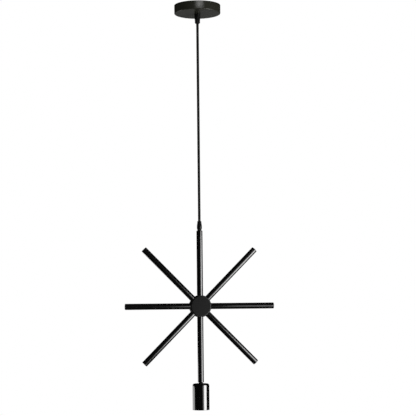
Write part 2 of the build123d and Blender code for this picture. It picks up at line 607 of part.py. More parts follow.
def hub_body():
    """The turned hub: a web at the front, a wiring cavity, and eight flat tapped seats."""
    points = [(0, -HUB_HALF_DEPTH), (HUB_RADIUS, -HUB_HALF_DEPTH), (HUB_RADIUS, HUB_HALF_DEPTH)]
    points += [(0, HUB_HALF_DEPTH)]
    body = turned(points, [0, HUB_EDGE_RADIUS, HUB_EDGE_RADIUS, 0])
    body -= rod(HUB_CAVITY_RADIUS, -HUB_HALF_DEPTH + HUB_WEB, HUB_HALF_DEPTH)
    front = rod(COVER_SCREW_RADIUS + SHANK_CLEARANCE, -HUB_HALF_DEPTH, -HUB_HALF_DEPTH + HUB_WEB)
    back = rod(COVER_SCREW_RADIUS + THREAD_CLEARANCE, HUB_HALF_DEPTH - COVER_TAPPED_DEPTH, HUB_HALF_DEPTH)
    for hole in on_circle(front, FRONT_SCREW_CIRCLE, COVER_SCREW_COUNT, FRONT_SCREW_TURN):
        body -= hole
    for hole in on_circle(back, BACK_SCREW_CIRCLE, COVER_SCREW_COUNT, BACK_SCREW_TURN):
        body -= hole
    body = round_hub(body)
    spot_face = rod(TUBE_RADIUS + HUB_SEAT_CLEARANCE, HUB_SEAT_DISTANCE, HUB_RADIUS + HUB_SEAT_CLEARANCE)
    bore = rod(TAPPED_RADIUS, HUB_CAVITY_RADIUS - HUB_WEB, HUB_RADIUS)
    for step in range(HUB_SEAT_COUNT):
        body -= out_along(360 * step / HUB_SEAT_COUNT, spot_face)
        body -= out_along(360 * step / HUB_SEAT_COUNT, bore)
    earth = rod(EARTH_SCREW_RADIUS + THREAD_CLEARANCE, -HUB_HALF_DEPTH, -HUB_HALF_DEPTH + HUB_WEB)
    return body - round_hub(Pos(0, HUB_EARTH_DROP, 0) * earth)


def cover_disc(thickness):
    """A disc with a rounded edge, its flat side at z = 0 and its face at z = thickness."""
    return fillet(rod(HUB_COVER_RADIUS, 0, thickness).edges().sort_by(Axis.Z)[-1], HUB_COVER_EDGE_RADIUS)


def hub_front_cover():
    disc = cover_disc(HUB_COVER_THICKNESS)
    tapped = rod(COVER_SCREW_RADIUS + THREAD_CLEARANCE, 0, HUB_COVER_THICKNESS - HUB_COVER_SKIN)
    for hole in on_circle(tapped, FRONT_SCREW_CIRCLE, COVER_SCREW_COUNT, FRONT_SCREW_TURN):
        disc -= hole
    return Pos(0, 0, HUB_Z) * Rot(90, 0, 0) * Pos(0, 0, HUB_HALF_DEPTH) * disc


def hub_back_cover():
    disc = cover_disc(HUB_COVER_THICKNESS)
    lip_outer = HUB_CAVITY_RADIUS - SHANK_CLEARANCE
    disc += tube(lip_outer, lip_outer - HUB_COVER_LIP_WALL, -HUB_COVER_LIP, 0)
    hole = rod(COVER_SCREW_RADIUS + SHANK_CLEARANCE, -HUB_COVER_LIP, HUB_COVER_THICKNESS)
    recess_low = HUB_COVER_THICKNESS - COVER_HEAD_HEIGHT
    hole += rod(COVER_HEAD_RADIUS + SHANK_CLEARANCE, recess_low, HUB_COVER_THICKNESS)
    for cut in on_circle(hole, BACK_SCREW_CIRCLE, COVER_SCREW_COUNT, BACK_SCREW_TURN):
        disc -= cut
    return round_hub(Pos(0, 0, HUB_HALF_DEPTH) * disc)


def cover_screws():
    """Front cover screws have their heads in the cavity; back cover screws lie in recesses."""
    front = cover_screw(HUB_WEB + HUB_COVER_THICKNESS - HUB_COVER_SKIN - NIPPLE_END_GAP)
    front_screws = on_circle(front, FRONT_SCREW_CIRCLE, COVER_SCREW_COUNT, FRONT_SCREW_TURN)
    recess = HUB_COVER_THICKNESS - COVER_HEAD_HEIGHT
    back = cover_screw(recess + COVER_TAPPED_DEPTH - COVER_SCREW_TIP_GAP)
    back_screws = on_circle(back, BACK_SCREW_CIRCLE, COVER_SCREW_COUNT, BACK_SCREW_TURN)
    web_face = Pos(0, 0, -HUB_HALF_DEPTH + HUB_WEB)
    seat_face = Pos(0, 0, HUB_HALF_DEPTH + recess)
    return {
        "front_cover_screws": [round_hub(web_face * one) for one in front_screws],
        "back_cover_screws": [round_hub(seat_face * one) for one in back_screws],
    }


def hub_earth():
    """Earth screw and lug on the web in the hub; the lug's barrel points up."""
    place = Pos(0, HUB_EARTH_DROP, -HUB_HALF_DEPTH + HUB_WEB)
    length = LUG_THICKNESS + HUB_WEB
    return {
        "hub_earth_lug": round_hub(place * Rot(0, 0, -90) * earth_lug()),
        "hub_earth_screw": round_hub(place * Pos(0, 0, LUG_THICKNESS) * earth_screw(length)),
    }


def frame_cores():
    """Live and neutral cores to the lamp holder, and the earth core to the lug in the hub."""
    exit_z = HOLDER_NIPPLE_END_Z - CORE_EXIT_RUN
    entry_z = SOCKET_TOP_Z + TERMINAL_CORE_HEIGHT
    cores = {}
    for name, side in (("live_core", -1), ("neutral_core", 1)):
        x = side * CORE_PITCH
        points = [(x, 0, STEM_CORD_END_Z), (x, 0, exit_z)]
        points += [(x / 2, side * (TERMINAL_INNER_Y - TERMINAL_CORE_RUN), entry_z)]
        points += [(x / 2, side * TERMINAL_INNER_Y, entry_z)]
        cores[name] = core_wire(points)
    lug_y = -HUB_HALF_DEPTH + HUB_WEB + LUG_BARREL_RADIUS
    lug_top = HUB_Z - HUB_EARTH_DROP + LUG_REACH + LUG_BARREL_LENGTH
    points = [(0, 0, STEM_CORD_END_Z), (0, 0, lug_top + HUB_CORE_BEND_RISE)]
    points += [(0, lug_y, lug_top + EARTH_CORE_RISE), (0, lug_y, lug_top)]
    cores["earth_core"] = core_wire(points)
    return cores


# Lamp holder
def holder_cup():
    inner = HOLDER_RADIUS - HOLDER_WALL
    lip, shoulder = HOLDER_LIP_RADIUS, HOLDER_SHOULDER_RADIUS
    points = [(HOLE_RADIUS, HOLDER_TOP_Z), (HOLDER_RADIUS, HOLDER_TOP_Z), (HOLDER_RADIUS, HOLDER_BOTTOM_Z)]
    points += [(inner, HOLDER_BOTTOM_Z), (inner, HOLDER_CEILING_Z), (HOLE_RADIUS, HOLDER_CEILING_Z)]
    return turned(points, [0, shoulder, lip, lip, shoulder - HOLDER_WALL, 0])


def socket_bracket():
    strip = bent_strip(SOCKET_BRACKET_LENGTH, SOCKET_BRACKET_WIDTH, SOCKET_BRACKET_THICKNESS,
                       SOCKET_BRACKET_DROP, SOCKET_BRIDGE_LENGTH, SOCKET_BEND_RADIUS, SOCKET_CORNER_RADIUS)
    strip -= rod(HOLE_RADIUS, -SOCKET_BRACKET_DROP - SOCKET_BRACKET_THICKNESS, 0)
    hole = rod(SOCKET_SCREW_RADIUS + SHANK_CLEARANCE, -SOCKET_BRACKET_THICKNESS, 0)
    for side in (-1, 1):
        strip -= Pos(side * SOCKET_SCREW_X, 0, 0) * hole
    return Pos(0, 0, SOCKET_TOP_Z) * Rot(180, 0, 0) * strip


def socket_bracket_screws():
    screw = slotted_screw(SOCKET_SCREW_RADIUS, SOCKET_SCREW_HEAD_RADIUS, SOCKET_SCREW_HEAD_HEIGHT,
                          SOCKET_SCREW_LENGTH)
    seat = SOCKET_TOP_Z + SOCKET_BRACKET_THICKNESS
    return [Pos(side * SOCKET_SCREW_X, 0, seat) * screw for side in (-1, 1)]


def socket_body():
    """The insulating body: mouth, seat of the screw shell, contact chamber and floor."""
    outer = HOLDER_RADIUS - HOLDER_WALL - SOCKET_BODY_GAP
    shell_seat = SHELL_BORE_RADIUS + SHELL_WALL + SHELL_FIT
    edge = SOCKET_EDGE_RADIUS
    points = [(0, SOCKET_TOP_Z), (outer, SOCKET_TOP_Z), (outer, SOCKET_BOTTOM_Z)]
    points += [(SOCKET_MOUTH_RADIUS, SOCKET_BOTTOM_Z), (SOCKET_MOUTH_RADIUS, SHELL_BOTTOM_Z)]
    points += [(shell_seat, SHELL_BOTTOM_Z), (shell_seat, SHELL_TOP_Z)]
    points += [(CONTACT_CHAMBER_RADIUS, SHELL_TOP_Z), (CONTACT_CHAMBER_RADIUS, SOCKET_FLOOR_Z)]
    points += [(0, SOCKET_FLOOR_Z)]
    body = turned(points, [0, edge, edge, edge, 0, 0, 0, 0, 0, 0])
    body -= rod(CONTACT_STEM_RADIUS + PLUNGER_FIT, SOCKET_FLOOR_Z, SOCKET_TOP_Z)
    tapped_low = SOCKET_TOP_Z - SOCKET_SCREW_LENGTH
    tapped = rod(SOCKET_SCREW_RADIUS + THREAD_CLEARANCE, tapped_low, SOCKET_TOP_Z)
    for side in (-1, 1):
        body -= Pos(side * SOCKET_SCREW_X, 0, 0) * tapped
    pin_hole = TERMINAL_PIN_RADIUS + THREAD_CLEARANCE
    body -= Pos(0, -LIVE_PIN_Y, 0) * rod(pin_hole, SOCKET_FLOOR_Z, SOCKET_TOP_Z)
    return body - Pos(0, NEUTRAL_PIN_Y, 0) * rod(pin_hole, SHELL_TOP_Z, SOCKET_TOP_Z)


def screw_shell():
    outer = SHELL_BORE_RADIUS + SHELL_WALL
    flange = tube(outer, SHELL_FLANGE_RADIUS, SHELL_TOP_Z - SHELL_WALL, SHELL_TOP_Z)
    return flange + tube(outer, SHELL_BORE_RADIUS, SHELL_BOTTOM_Z, SHELL_TOP_Z - SHELL_WALL)


def centre_contact():
    """The sprung contact: a domed head that the lamp presses up, and its guide stem."""
    low = CONTACT_HEAD_TOP_Z - CONTACT_HEAD_HEIGHT
    top = CONTACT_HEAD_TOP_Z + CONTACT_STEM_LENGTH
    head, stem = CONTACT_HEAD_RADIUS, CONTACT_STEM_RADIUS
    points = [(0, low), (head, low), (head, CONTACT_HEAD_TOP_Z), (stem, CONTACT_HEAD_TOP_Z)]
    points += [(stem, top), (0, top)]
    return turned(points, [0, CONTACT_DOME_RADIUS, 0, 0, 0, 0])


def contact_spring():
    """The coil between the contact plate and the contact's head."""
    low = CONTACT_HEAD_TOP_Z + SPRING_WIRE_RADIUS + SPRING_SEAT_GAP
    high = SOCKET_FLOOR_Z - PLATE_THICKNESS - SPRING_WIRE_RADIUS - SPRING_SEAT_GAP
    pitch = (high - low) / SPRING_TURNS
    coil = Helix(pitch=pitch, height=high - low, radius=SPRING_RADIUS, center=(0, 0, low))
    section = Plane(origin=coil @ 0, z_dir=coil % 0) * Circle(SPRING_WIRE_RADIUS)
    return sweep(section, path=coil)


def terminals():
    """Brass blocks on the socket body, with pins to the contact plate and to the shell."""
    block = Box(TERMINAL_WIDTH, TERMINAL_DEPTH, TERMINAL_HEIGHT, align=(Align.CENTER, Align.MIN, Align.MIN))
    core_hole = Rot(-90, 0, 0) * rod(CORE_RADIUS + THREAD_CLEARANCE, 0, TERMINAL_DEPTH / 2)
    tapped_low = TERMINAL_HEIGHT - TERMINAL_SCREW_LENGTH
    tapped = rod(TERMINAL_SCREW_RADIUS + THREAD_CLEARANCE, tapped_low, TERMINAL_HEIGHT)
    screw = slotted_screw(TERMINAL_SCREW_RADIUS, TERMINAL_SCREW_HEAD_RADIUS, TERMINAL_SCREW_HEAD_HEIGHT,
                          TERMINAL_SCREW_LENGTH)
    blocks, screws = {}, []
    for name, side in (("live", -1), ("neutral", 1)):
        turn = Rot(0, 0, 90 - 90 * side)
        one = block - Pos(0, TERMINAL_DEPTH / 2, 0) * tapped
        place = Pos(0, 0, SOCKET_TOP_Z) * turn * Pos(0, TERMINAL_INNER_Y, 0)
        blocks[name] = place * one
        screws.append(place * Pos(0, TERMINAL_DEPTH / 2, TERMINAL_HEIGHT) * screw)
    plate_z = SOCKET_FLOOR_Z - PLATE_THICKNESS
    plate = rod(PLATE_RADIUS, plate_z, SOCKET_FLOOR_Z)
    arm_end = LIVE_PIN_Y + TERMINAL_PIN_RADIUS + THREAD_CLEARANCE
    arm = Box(2 * PLATE_HOLE_RADIUS, arm_end, PLATE_THICKNESS, align=(Align.CENTER, Align.MAX, Align.MIN))
    plate += Pos(0, 0, plate_z) * arm
    plate -= rod(PLATE_HOLE_RADIUS, plate_z, SOCKET_FLOOR_Z)
    live = blocks["live"] + plate + Pos(0, -LIVE_PIN_Y, 0) * rod(TERMINAL_PIN_RADIUS, plate_z, SOCKET_TOP_Z)
    neutral_pin = Pos(0, NEUTRAL_PIN_Y, 0) * rod(TERMINAL_PIN_RADIUS, SHELL_TOP_Z, SOCKET_TOP_Z)
    return {
        "live_terminal": live,
        "neutral_terminal": blocks["neutral"] + neutral_pin,
        "holder_terminal_screws": screws,
    }


def build():
    """Every node of the light, by name."""
    parts = {
        "canopy_cup": canopy_cup(),
        "ceiling_bracket": ceiling_bracket(),
        "canopy_nipple": nipple(CANOPY_NIPPLE_END_Z, CANOPY_NIPPLE_TOP_Z),
        "bracket_lock_nuts": bracket_lock_nuts(),
        "canopy_cord_tail": rod(CORD_RADIUS, CANOPY_GRIP_END_Z, CORD_TAIL_TOP_Z),
        "pendant_cord": pendant_cord(),
        "cord_bend": cord_bend(),
        "stem_cord_end": rod(CORD_RADIUS, STEM_CORD_END_Z, CORD_LOWER_Z),
        "stem_nipple": nipple(STEM_TOP_Z - NIPPLE_ENGAGEMENT, STEM_NIPPLE_TOP_Z),
        "arm_end_plugs": arm_end_plugs(),
        "tube_bushes": tube_bushes(),
        "hub_nipples": hub_nipples(),
        "hub_body": hub_body(),
        "hub_front_cover": hub_front_cover(),
        "hub_back_cover": hub_back_cover(),
        "holder_nipple": nipple(HOLDER_NIPPLE_END_Z, STEM_BOTTOM_Z + NIPPLE_ENGAGEMENT),
        "holder_cup": holder_cup(),
        "holder_lock_nut": lock_nut(HOLDER_NUT_TOP_Z - LOCK_NUT_THICKNESS),
        "socket_bracket": socket_bracket(),
        "socket_bracket_screws": socket_bracket_screws(),
        "socket_body": socket_body(),
        "screw_shell": screw_shell(),
        "centre_contact": centre_contact(),
        "contact_spring": contact_spring(),
    }
    for group in (canopy_grip, terminal_block, bracket_earth, canopy_cores, stem_grip, frame_tubes,
                  cover_screws, hub_earth, frame_cores, terminals):
        parts.update(group())
    return parts


def main():
    os.makedirs("parts", exist_ok=True)
    for name, shape in build().items():
        solids = shape if isinstance(shape, list) else [shape]
        node = solids[0] if len(solids) == 1 else Compound(children=[Compound(one.wrapped) for one in solids])
        export_step(node, os.path.join("parts", name + ".step"))


main()
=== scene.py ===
import logging
import math
from collections.abc import Callable, Sequence
from dataclasses import dataclass
from enum import Enum
from functools import lru_cache

import bmesh
import bpy
from mathutils import Matrix, Vector


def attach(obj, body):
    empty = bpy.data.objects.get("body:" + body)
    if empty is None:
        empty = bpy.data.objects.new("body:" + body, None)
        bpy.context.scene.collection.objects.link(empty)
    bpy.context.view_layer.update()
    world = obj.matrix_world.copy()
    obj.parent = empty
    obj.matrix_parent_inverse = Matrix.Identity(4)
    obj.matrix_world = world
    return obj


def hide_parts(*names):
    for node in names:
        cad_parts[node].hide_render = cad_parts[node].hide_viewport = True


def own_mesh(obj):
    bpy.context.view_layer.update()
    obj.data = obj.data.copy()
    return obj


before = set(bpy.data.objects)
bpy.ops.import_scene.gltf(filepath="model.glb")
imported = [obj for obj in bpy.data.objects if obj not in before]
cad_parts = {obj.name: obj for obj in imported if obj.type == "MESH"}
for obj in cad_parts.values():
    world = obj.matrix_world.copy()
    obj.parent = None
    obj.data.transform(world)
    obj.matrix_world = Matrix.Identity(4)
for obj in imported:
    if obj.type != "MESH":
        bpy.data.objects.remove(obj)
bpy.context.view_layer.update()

# Star pendant light. Every size is in millimetres unless it says otherwise, and MM turns it into
# Blender's metres. The ceiling is z = 0, the star lies in the XZ plane and its matt hub disc
# faces -Y.

MM = 0.001
LOG = logging.getLogger("star_pendant")

# Points closer than WELD become one, and edges shorter than SLIVER are taken out.
WELD = 0.0005
SLIVER = 0.0002

# A Mix node's colour sockets go by number, because its other sockets have the same names.
COLOUR_A, COLOUR_B, COLOUR_RESULT = 6, 7, 2
WHITE = (1.0, 1.0, 1.0, 1.0)

# The power of an area lamp of one square metre whose face has a radiance of one.
AREA_LAMP_POWER = 4.0

Point = tuple[float, float]
Corner = tuple[float, float, float]
Colour = tuple[float, float, float]
Socket = bpy.types.NodeSocket
Value = float | Socket


class Body(Enum):
    """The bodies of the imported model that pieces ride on."""

    CANOPY = "canopy"
    PIVOT = "cord_pivot"
    CORD = "cord"
    STAR = "star_frame"


class Wiring:
    """Adds nodes to one node tree and joins them."""

    def __init__(self, tree: bpy.types.NodeTree) -> None:
        """Keeps the node tree of a material, group or world."""
        self.tree = tree

    def add(
        self, kind: str, values: dict[str | int, object] | None = None, **settings: object
    ) -> bpy.types.Node:
        """Adds one node.

        Args:
            kind: the node's type, without its leading ShaderNode.
            values: inputs by name or number, each a plain value or the socket that feeds it.
            settings: the node's own options.

        Returns:
            The new node.
        """
        node = self.tree.nodes.new("ShaderNode" + kind)
        for name, value in settings.items():
            setattr(node, name, value)
        for key, value in (values or {}).items():
            if isinstance(value, bpy.types.NodeSocket):
                self.tree.links.new(value, node.inputs[key])
            else:
                node.inputs[key].default_value = value
        return node

    def math(self, operation: str, *values: Value, clamp: bool = False) -> Socket:
        """Adds a Math node.

        Args:
            operation: the node's operation.
            values: its inputs in order.
            clamp: whether the result is kept from 0 to 1.

        Returns:
            The socket with the result.
        """
        inputs = dict(enumerate(values))
        return self.add("Math", inputs, operation=operation, use_clamp=clamp).outputs[0]

    def ramp(self, value: Socket, low: float, high: float) -> Socket:
        """Eases a value from 0 at low to 1 at high.

        Args:
            value: the socket to ease.
            low: where the result is 0.
            high: where the result is 1.

        Returns:
            The socket with the eased value.
        """
        values = {"Value": value, "From Min": low, "From Max": high}
        return self.add("MapRange", values, interpolation_type="SMOOTHSTEP").outputs["Result"]

    def noise(self, where: Socket, scale: Value, detail: float, roughness: float = 0.5) -> Socket:
        """Adds a noise texture.

        Args:
            where: the place that it is read at.
            scale: its scale, in waves to the metre.
            detail: how many finer layers it has.
            roughness: how strong each finer layer is.

        Returns:
            The socket with the noise, from 0 to 1.
        """
        values = {"Vector": where, "Scale": scale, "Detail": detail, "Roughness": roughness}
        return self.add("TexNoise", values).outputs[0]

    def where(self) -> Socket:
        """The place on the piece, in the piece's own space."""
        return self.add("TexCoord").outputs["Object"]

    def axes(self, vector: Socket) -> bpy.types.bpy_prop_collection:
        """The X, Y and Z of a vector, by name."""
        return self.add("SeparateXYZ", {0: vector}).outputs

    def times(self, vector: Socket, factors: tuple[float, float, float]) -> Socket:
        """A vector with each of its axes multiplied by its own factor."""
        return self.add("VectorMath", {0: vector, 1: factors}, operation="MULTIPLY").outputs[0]

    def between(self, share: Value, low: Value, high: Value) -> Socket:
        """Mixes two values, all low at a share of 0 and all high at 1."""
        values = {"Factor": share, "A": low, "B": high}
        return self.add("Mix", values, data_type="FLOAT").outputs["Result"]

    def tint(self, share: Value, first: object, second: object, blend: str = "MIX") -> Socket:
        """Mixes two colours, all first at a share of 0."""
        values = {"Factor": share, COLOUR_A: first, COLOUR_B: second}
        return self.add("Mix", values, data_type="RGBA", blend_type=blend).outputs[COLOUR_RESULT]


@dataclass(frozen=True)
class Effect:
    """A shader node group: its name, inputs, outputs and the way it is wired."""

    name: str
    inputs: tuple[str, ...]
    outputs: tuple[str, ...]
    wire: Callable[[Wiring, bpy.types.Node], dict[str, Socket]]

    def tree(self) -> bpy.types.NodeTree:
        """Finds the group, or builds it the first time.

        Returns:
            The group's node tree.
        """
        found = bpy.data.node_groups.get(self.name)
        if found:
            return found
        tree = bpy.data.node_groups.new(self.name, "ShaderNodeTree")
        for direction, names in (("INPUT", self.inputs), ("OUTPUT", self.outputs)):
            for name in names:
                tree.interface.new_socket(
                    name=name, in_out=direction, socket_type="NodeSocketFloat"
                )
        source = tree.nodes.new("NodeGroupInput")
        target = tree.nodes.new("NodeGroupOutput")
        for name, socket in self.wire(Wiring(tree), source).items():
            tree.links.new(socket, target.inputs[name])
        return tree

    def place(self, wiring: Wiring, **values: float) -> bpy.types.Node:
        """Puts the group in a material with its own values.

        Args:
            wiring: the material's wiring.
            values: the group's inputs by name.

        Returns:
            The group node.
        """
        return wiring.add("Group", dict(values), node_tree=self.tree())


def wire_patches(wiring: Wiring, source: bpy.types.Node) -> dict[str, Socket]:
    """Soft uneven patches, a factor that varies round 1.

    Args:
        wiring: the group's wiring.
        source: the group's inputs, Scale and Spread.

    Returns:
        The group's output by name.
    """
    cloud = wiring.noise(wiring.where(), source.outputs["Scale"], detail=3.0, roughness=0.55)
    centred = wiring.math("SUBTRACT", cloud, 0.5)
    return {"Factor": wiring.math("MULTIPLY_ADD", centred, source.outputs["Spread"], 1.0)}


def wire_dust(wiring: Wiring, source: bpy.types.Node) -> dict[str, Socket]:
    """Dust that has settled on what faces up, a thin uneven film with specks in it.

    Args:
        wiring: the group's wiring.
        source: the group's input, Amount.

    Returns:
        The group's output by name.
    """
    film = 0.3
    normal = wiring.add("NewGeometry").outputs["Normal"]
    up = wiring.ramp(wiring.axes(normal)["Z"], low=0.35, high=1.0)
    where = wiring.where()
    broad = wiring.ramp(wiring.noise(where, scale=90.0, detail=4.0), low=0.3, high=0.7)
    fine = wiring.ramp(wiring.noise(where, scale=2600.0, detail=1.0), low=0.55, high=0.75)
    specks = wiring.math("MULTIPLY_ADD", fine, 1 - film, film)
    uneven = wiring.math("MULTIPLY", broad, specks)
    amount = wiring.math("MULTIPLY", uneven, source.outputs["Amount"])
    return {"Mask": wiring.math("MULTIPLY", up, amount, clamp=True)}


def wire_peel(wiring: Wiring, source: bpy.types.Node) -> dict[str, Socket]:
    """The low, long waves of sprayed lacquer, with a few nibs.

    Args:
        wiring: the group's wiring.
        source: the group's input, Scale.

    Returns:
        The group's output by name.
    """
    nib_density, nib_height = 3.7, 0.25
    where, scale = wiring.where(), source.outputs["Scale"]
    waves = wiring.noise(where, scale, detail=1.0)
    close = wiring.noise(where, wiring.math("MULTIPLY", scale, nib_density), detail=0.0)
    nibs = wiring.ramp(close, low=0.72, high=0.8)
    return {"Height": wiring.math("MULTIPLY_ADD", nibs, nib_height, waves)}


def wire_powder(wiring: Wiring, source: bpy.types.Node) -> dict[str, Socket]:
    """The fine rounded grain of matt powder coat.

    Args:
        wiring: the group's wiring.
        source: the group's input, Scale.

    Returns:
        The group's output by name.
    """
    swell_density, grain_height = 0.35, -0.6
    where, scale = wiring.where(), source.outputs["Scale"]
    values = {"Vector": where, "Scale": scale, "Smoothness": 0.6}
    grains = wiring.add("TexVoronoi", values, feature="SMOOTH_F1").outputs["Distance"]
    swell = wiring.noise(where, wiring.math("MULTIPLY", scale, swell_density), detail=2.0)
    return {"Height": wiring.math("MULTIPLY_ADD", grains, grain_height, swell)}


def wire_grain(wiring: Wiring, source: bpy.types.Node) -> dict[str, Socket]:
    """The faint spark-eroded grain of moulded plastic.

    Args:
        wiring: the group's wiring.
        source: the group's input, Scale.

    Returns:
        The group's output by name.
    """
    scale = source.outputs["Scale"]
    return {"Height": wiring.noise(wiring.where(), scale, detail=4.0, roughness=0.7)}


def wire_scratches(wiring: Wiring, source: bpy.types.Node) -> dict[str, Socket]:
    """The fine lines and pits that rolling and barrelling leave in metal.

    Args:
        wiring: the group's wiring.
        source: the group's input, Scale.

    Returns:
        The group's output by name.
    """
    drawn_out, pit_depth = 0.06, 0.5
    where, scale = wiring.where(), source.outputs["Scale"]
    lines = wiring.noise(wiring.times(where, (drawn_out, 1.0, 1.0)), scale, detail=3.0)
    pits = wiring.ramp(wiring.noise(where, scale, detail=1.0), low=0.3, high=0.55)
    return {"Height": wiring.math("MULTIPLY_ADD", pits, pit_depth, lines)}


def wire_braid(wiring: Wiring, source: bpy.types.Node) -> dict[str, Socket]:
    """Yarns that wind both ways round an upright cord and pass over and under each other, with
    painted shade in the dips of the weave and painted light on its crests.

    Args:
        wiring: the group's wiring.
        source: the group's inputs, Yarns round the cord and the Pitch from crossing to crossing.

    Returns:
        The group's outputs by name: the height, and a colour factor that is painted shade in the
        dips and painted light on the crests.
    """
    # shade and light set the painted shade in the weave's dips and the painted light on its crests,
    # which the colour is multiplied by.
    fullness, dip, shade, light = 0.6, 0.35, 0.7, 0.4
    where = wiring.axes(wiring.where())
    turn = wiring.math("DIVIDE", wiring.math("ARCTAN2", where["Y"], where["X"]), 2 * math.pi)
    across = wiring.math("MULTIPLY", turn, source.outputs["Yarns"])
    along = wiring.math("DIVIDE", where["Z"], source.outputs["Pitch"])
    rising = wiring.math("ADD", across, along)
    falling = wiring.math("SUBTRACT", across, along)
    cells = wiring.math("ADD", wiring.math("FLOOR", rising), wiring.math("FLOOR", falling))
    over = wiring.math("MODULO", wiring.math("ABSOLUTE", cells), 2.0)
    yarns = []
    for this, other in ((rising, falling), (falling, rising)):
        across_yarn = wiring.math("MULTIPLY", wiring.math("FRACT", this), math.pi)
        along_yarn = wiring.math("MULTIPLY", wiring.math("FRACT", other), math.pi)
        back = wiring.math("POWER", wiring.math("SINE", across_yarn), fullness)
        lifted = wiring.math("MULTIPLY_ADD", wiring.math("SINE", along_yarn), dip, 1 - dip)
        yarns.append(wiring.math("MULTIPLY", back, lifted))
    height = wiring.between(over, *yarns)
    # The Factor paints shade onto the low yarns and light onto the high ones; it is not the yarn's
    # own colour.
    return {"Height": height, "Factor": wiring.math("MULTIPLY_ADD", height, light, shade)}


PATCHES = Effect("tone_patches", ("Scale", "Spread"), ("Factor",), wire_patches)
DUST = Effect("settled_dust", ("Amount",), ("Mask",), wire_dust)


class Relief(Enum):
    """The small reliefs that finishes carry."""

    PEEL = Effect("lacquer_peel", ("Scale",), ("Height",), wire_peel)
    POWDER = Effect("powder_grain", ("Scale",), ("Height",), wire_powder)
    GRAIN = Effect("moulded_grain", ("Scale",), ("Height",), wire_grain)
    SCRATCHES = Effect("rolled_scratches", ("Scale",), ("Height",), wire_scratches)
    # Besides its height, the braid gives a Factor that paints shade into the weave's dips and light
    # onto its crests.
    BRAID = Effect("cord_braid", ("Yarns", "Pitch"), ("Height", "Factor"), wire_braid)


@dataclass(frozen=True)
class Finish:
    """One surface finish and its material, with the relief's size and depth in millimetres."""

    name: str
    slot: str
    colour: Colour
    roughness: float
    relief: Relief
    relief_size: float
    relief_depth: float
    metallic: float = 0.0
    ior: float = 1.5
    coat: float = 0.0
    coat_roughness: float = 0.03
    sheen: float = 0.0
    patch_size: float = 12.0
    tone_spread: float = 0.2
    rough_spread: float = 0.3
    yarns: float = 16.0
    dust: float = 0.0
    dust_colour: Colour = (0.32, 0.31, 0.29)
    dust_roughness: float = 0.4

    @lru_cache
    def material(self) -> bpy.types.Material:
        """Builds the material the first time it is asked for.

        Returns:
            The finish's material.
        """
        made = bpy.data.materials.new(self.name)
        made.use_nodes = True
        made.node_tree.nodes.clear()
        wiring = Wiring(made.node_tree)
        relief = self.place_relief(wiring)
        shader = wiring.add("BsdfPrincipled", {"Metallic": self.metallic, "IOR": self.ior})
        shader.inputs["Coat Weight"].default_value = self.coat
        shader.inputs["Coat Roughness"].default_value = self.coat_roughness
        shader.inputs["Sheen Weight"].default_value = self.sheen
        dust = DUST.place(wiring, Amount=self.dust).outputs["Mask"]
        join = made.node_tree.links.new
        join(self.colour_of(wiring, relief, dust), shader.inputs["Base Color"])
        join(self.roughness_of(wiring, dust), shader.inputs["Roughness"])
        depth = self.relief_depth * MM
        values = {"Height": relief.outputs["Height"], "Distance": depth, "Strength": 1.0}
        join(wiring.add("Bump", values).outputs["Normal"], shader.inputs["Normal"])
        wiring.add("OutputMaterial", {"Surface": shader.outputs[0]})
        made.diffuse_color = (*self.colour, 1.0)
        return made

    def place_relief(self, wiring: Wiring) -> bpy.types.Node:
        """Puts the finish's relief in the material.

        Args:
            wiring: the material's wiring.

        Returns:
            The relief's group node.
        """
        size = self.relief_size * MM
        if self.relief is Relief.BRAID:
            return self.relief.value.place(wiring, Yarns=self.yarns, Pitch=size)
        return self.relief.value.place(wiring, Scale=1 / size)

    def patches(self, wiring: Wiring, spread: float) -> Socket:
        """Puts soft patches in the material, with a factor that varies by spread in all."""
        scale = 1 / (self.patch_size * MM)
        return PATCHES.place(wiring, Scale=scale, Spread=spread).outputs["Factor"]

    def colour_of(self, wiring: Wiring, relief: bpy.types.Node, dust: Socket) -> Socket:
        """Varies the colour by patches, by dust, and by the relief where it has a factor, which for
        the braid is painted shade in the weave's dips and painted light on its crests.

        Args:
            wiring: the material's wiring.
            relief: the relief's group node.
            dust: the dust's mask.

        Returns:
            The socket with the colour.
        """
        factor = self.patches(wiring, self.tone_spread)
        # The braid's factor is painted shade and painted light of the weave, multiplied into the
        # colour.
        if "Factor" in relief.outputs:
            factor = wiring.math("MULTIPLY", factor, relief.outputs["Factor"])
        shaded = wiring.tint(1.0, (*self.colour, 1.0), factor, blend="MULTIPLY")
        return wiring.tint(dust, shaded, (*self.dust_colour, 1.0))

    def roughness_of(self, wiring: Wiring, dust: Socket) -> Socket:
        """Varies the roughness by patches and dust."""
        uneven = wiring.math("MULTIPLY", self.patches(wiring, self.rough_spread), self.roughness)
        return wiring.math("MULTIPLY_ADD", dust, self.dust_roughness, uneven, clamp=True)


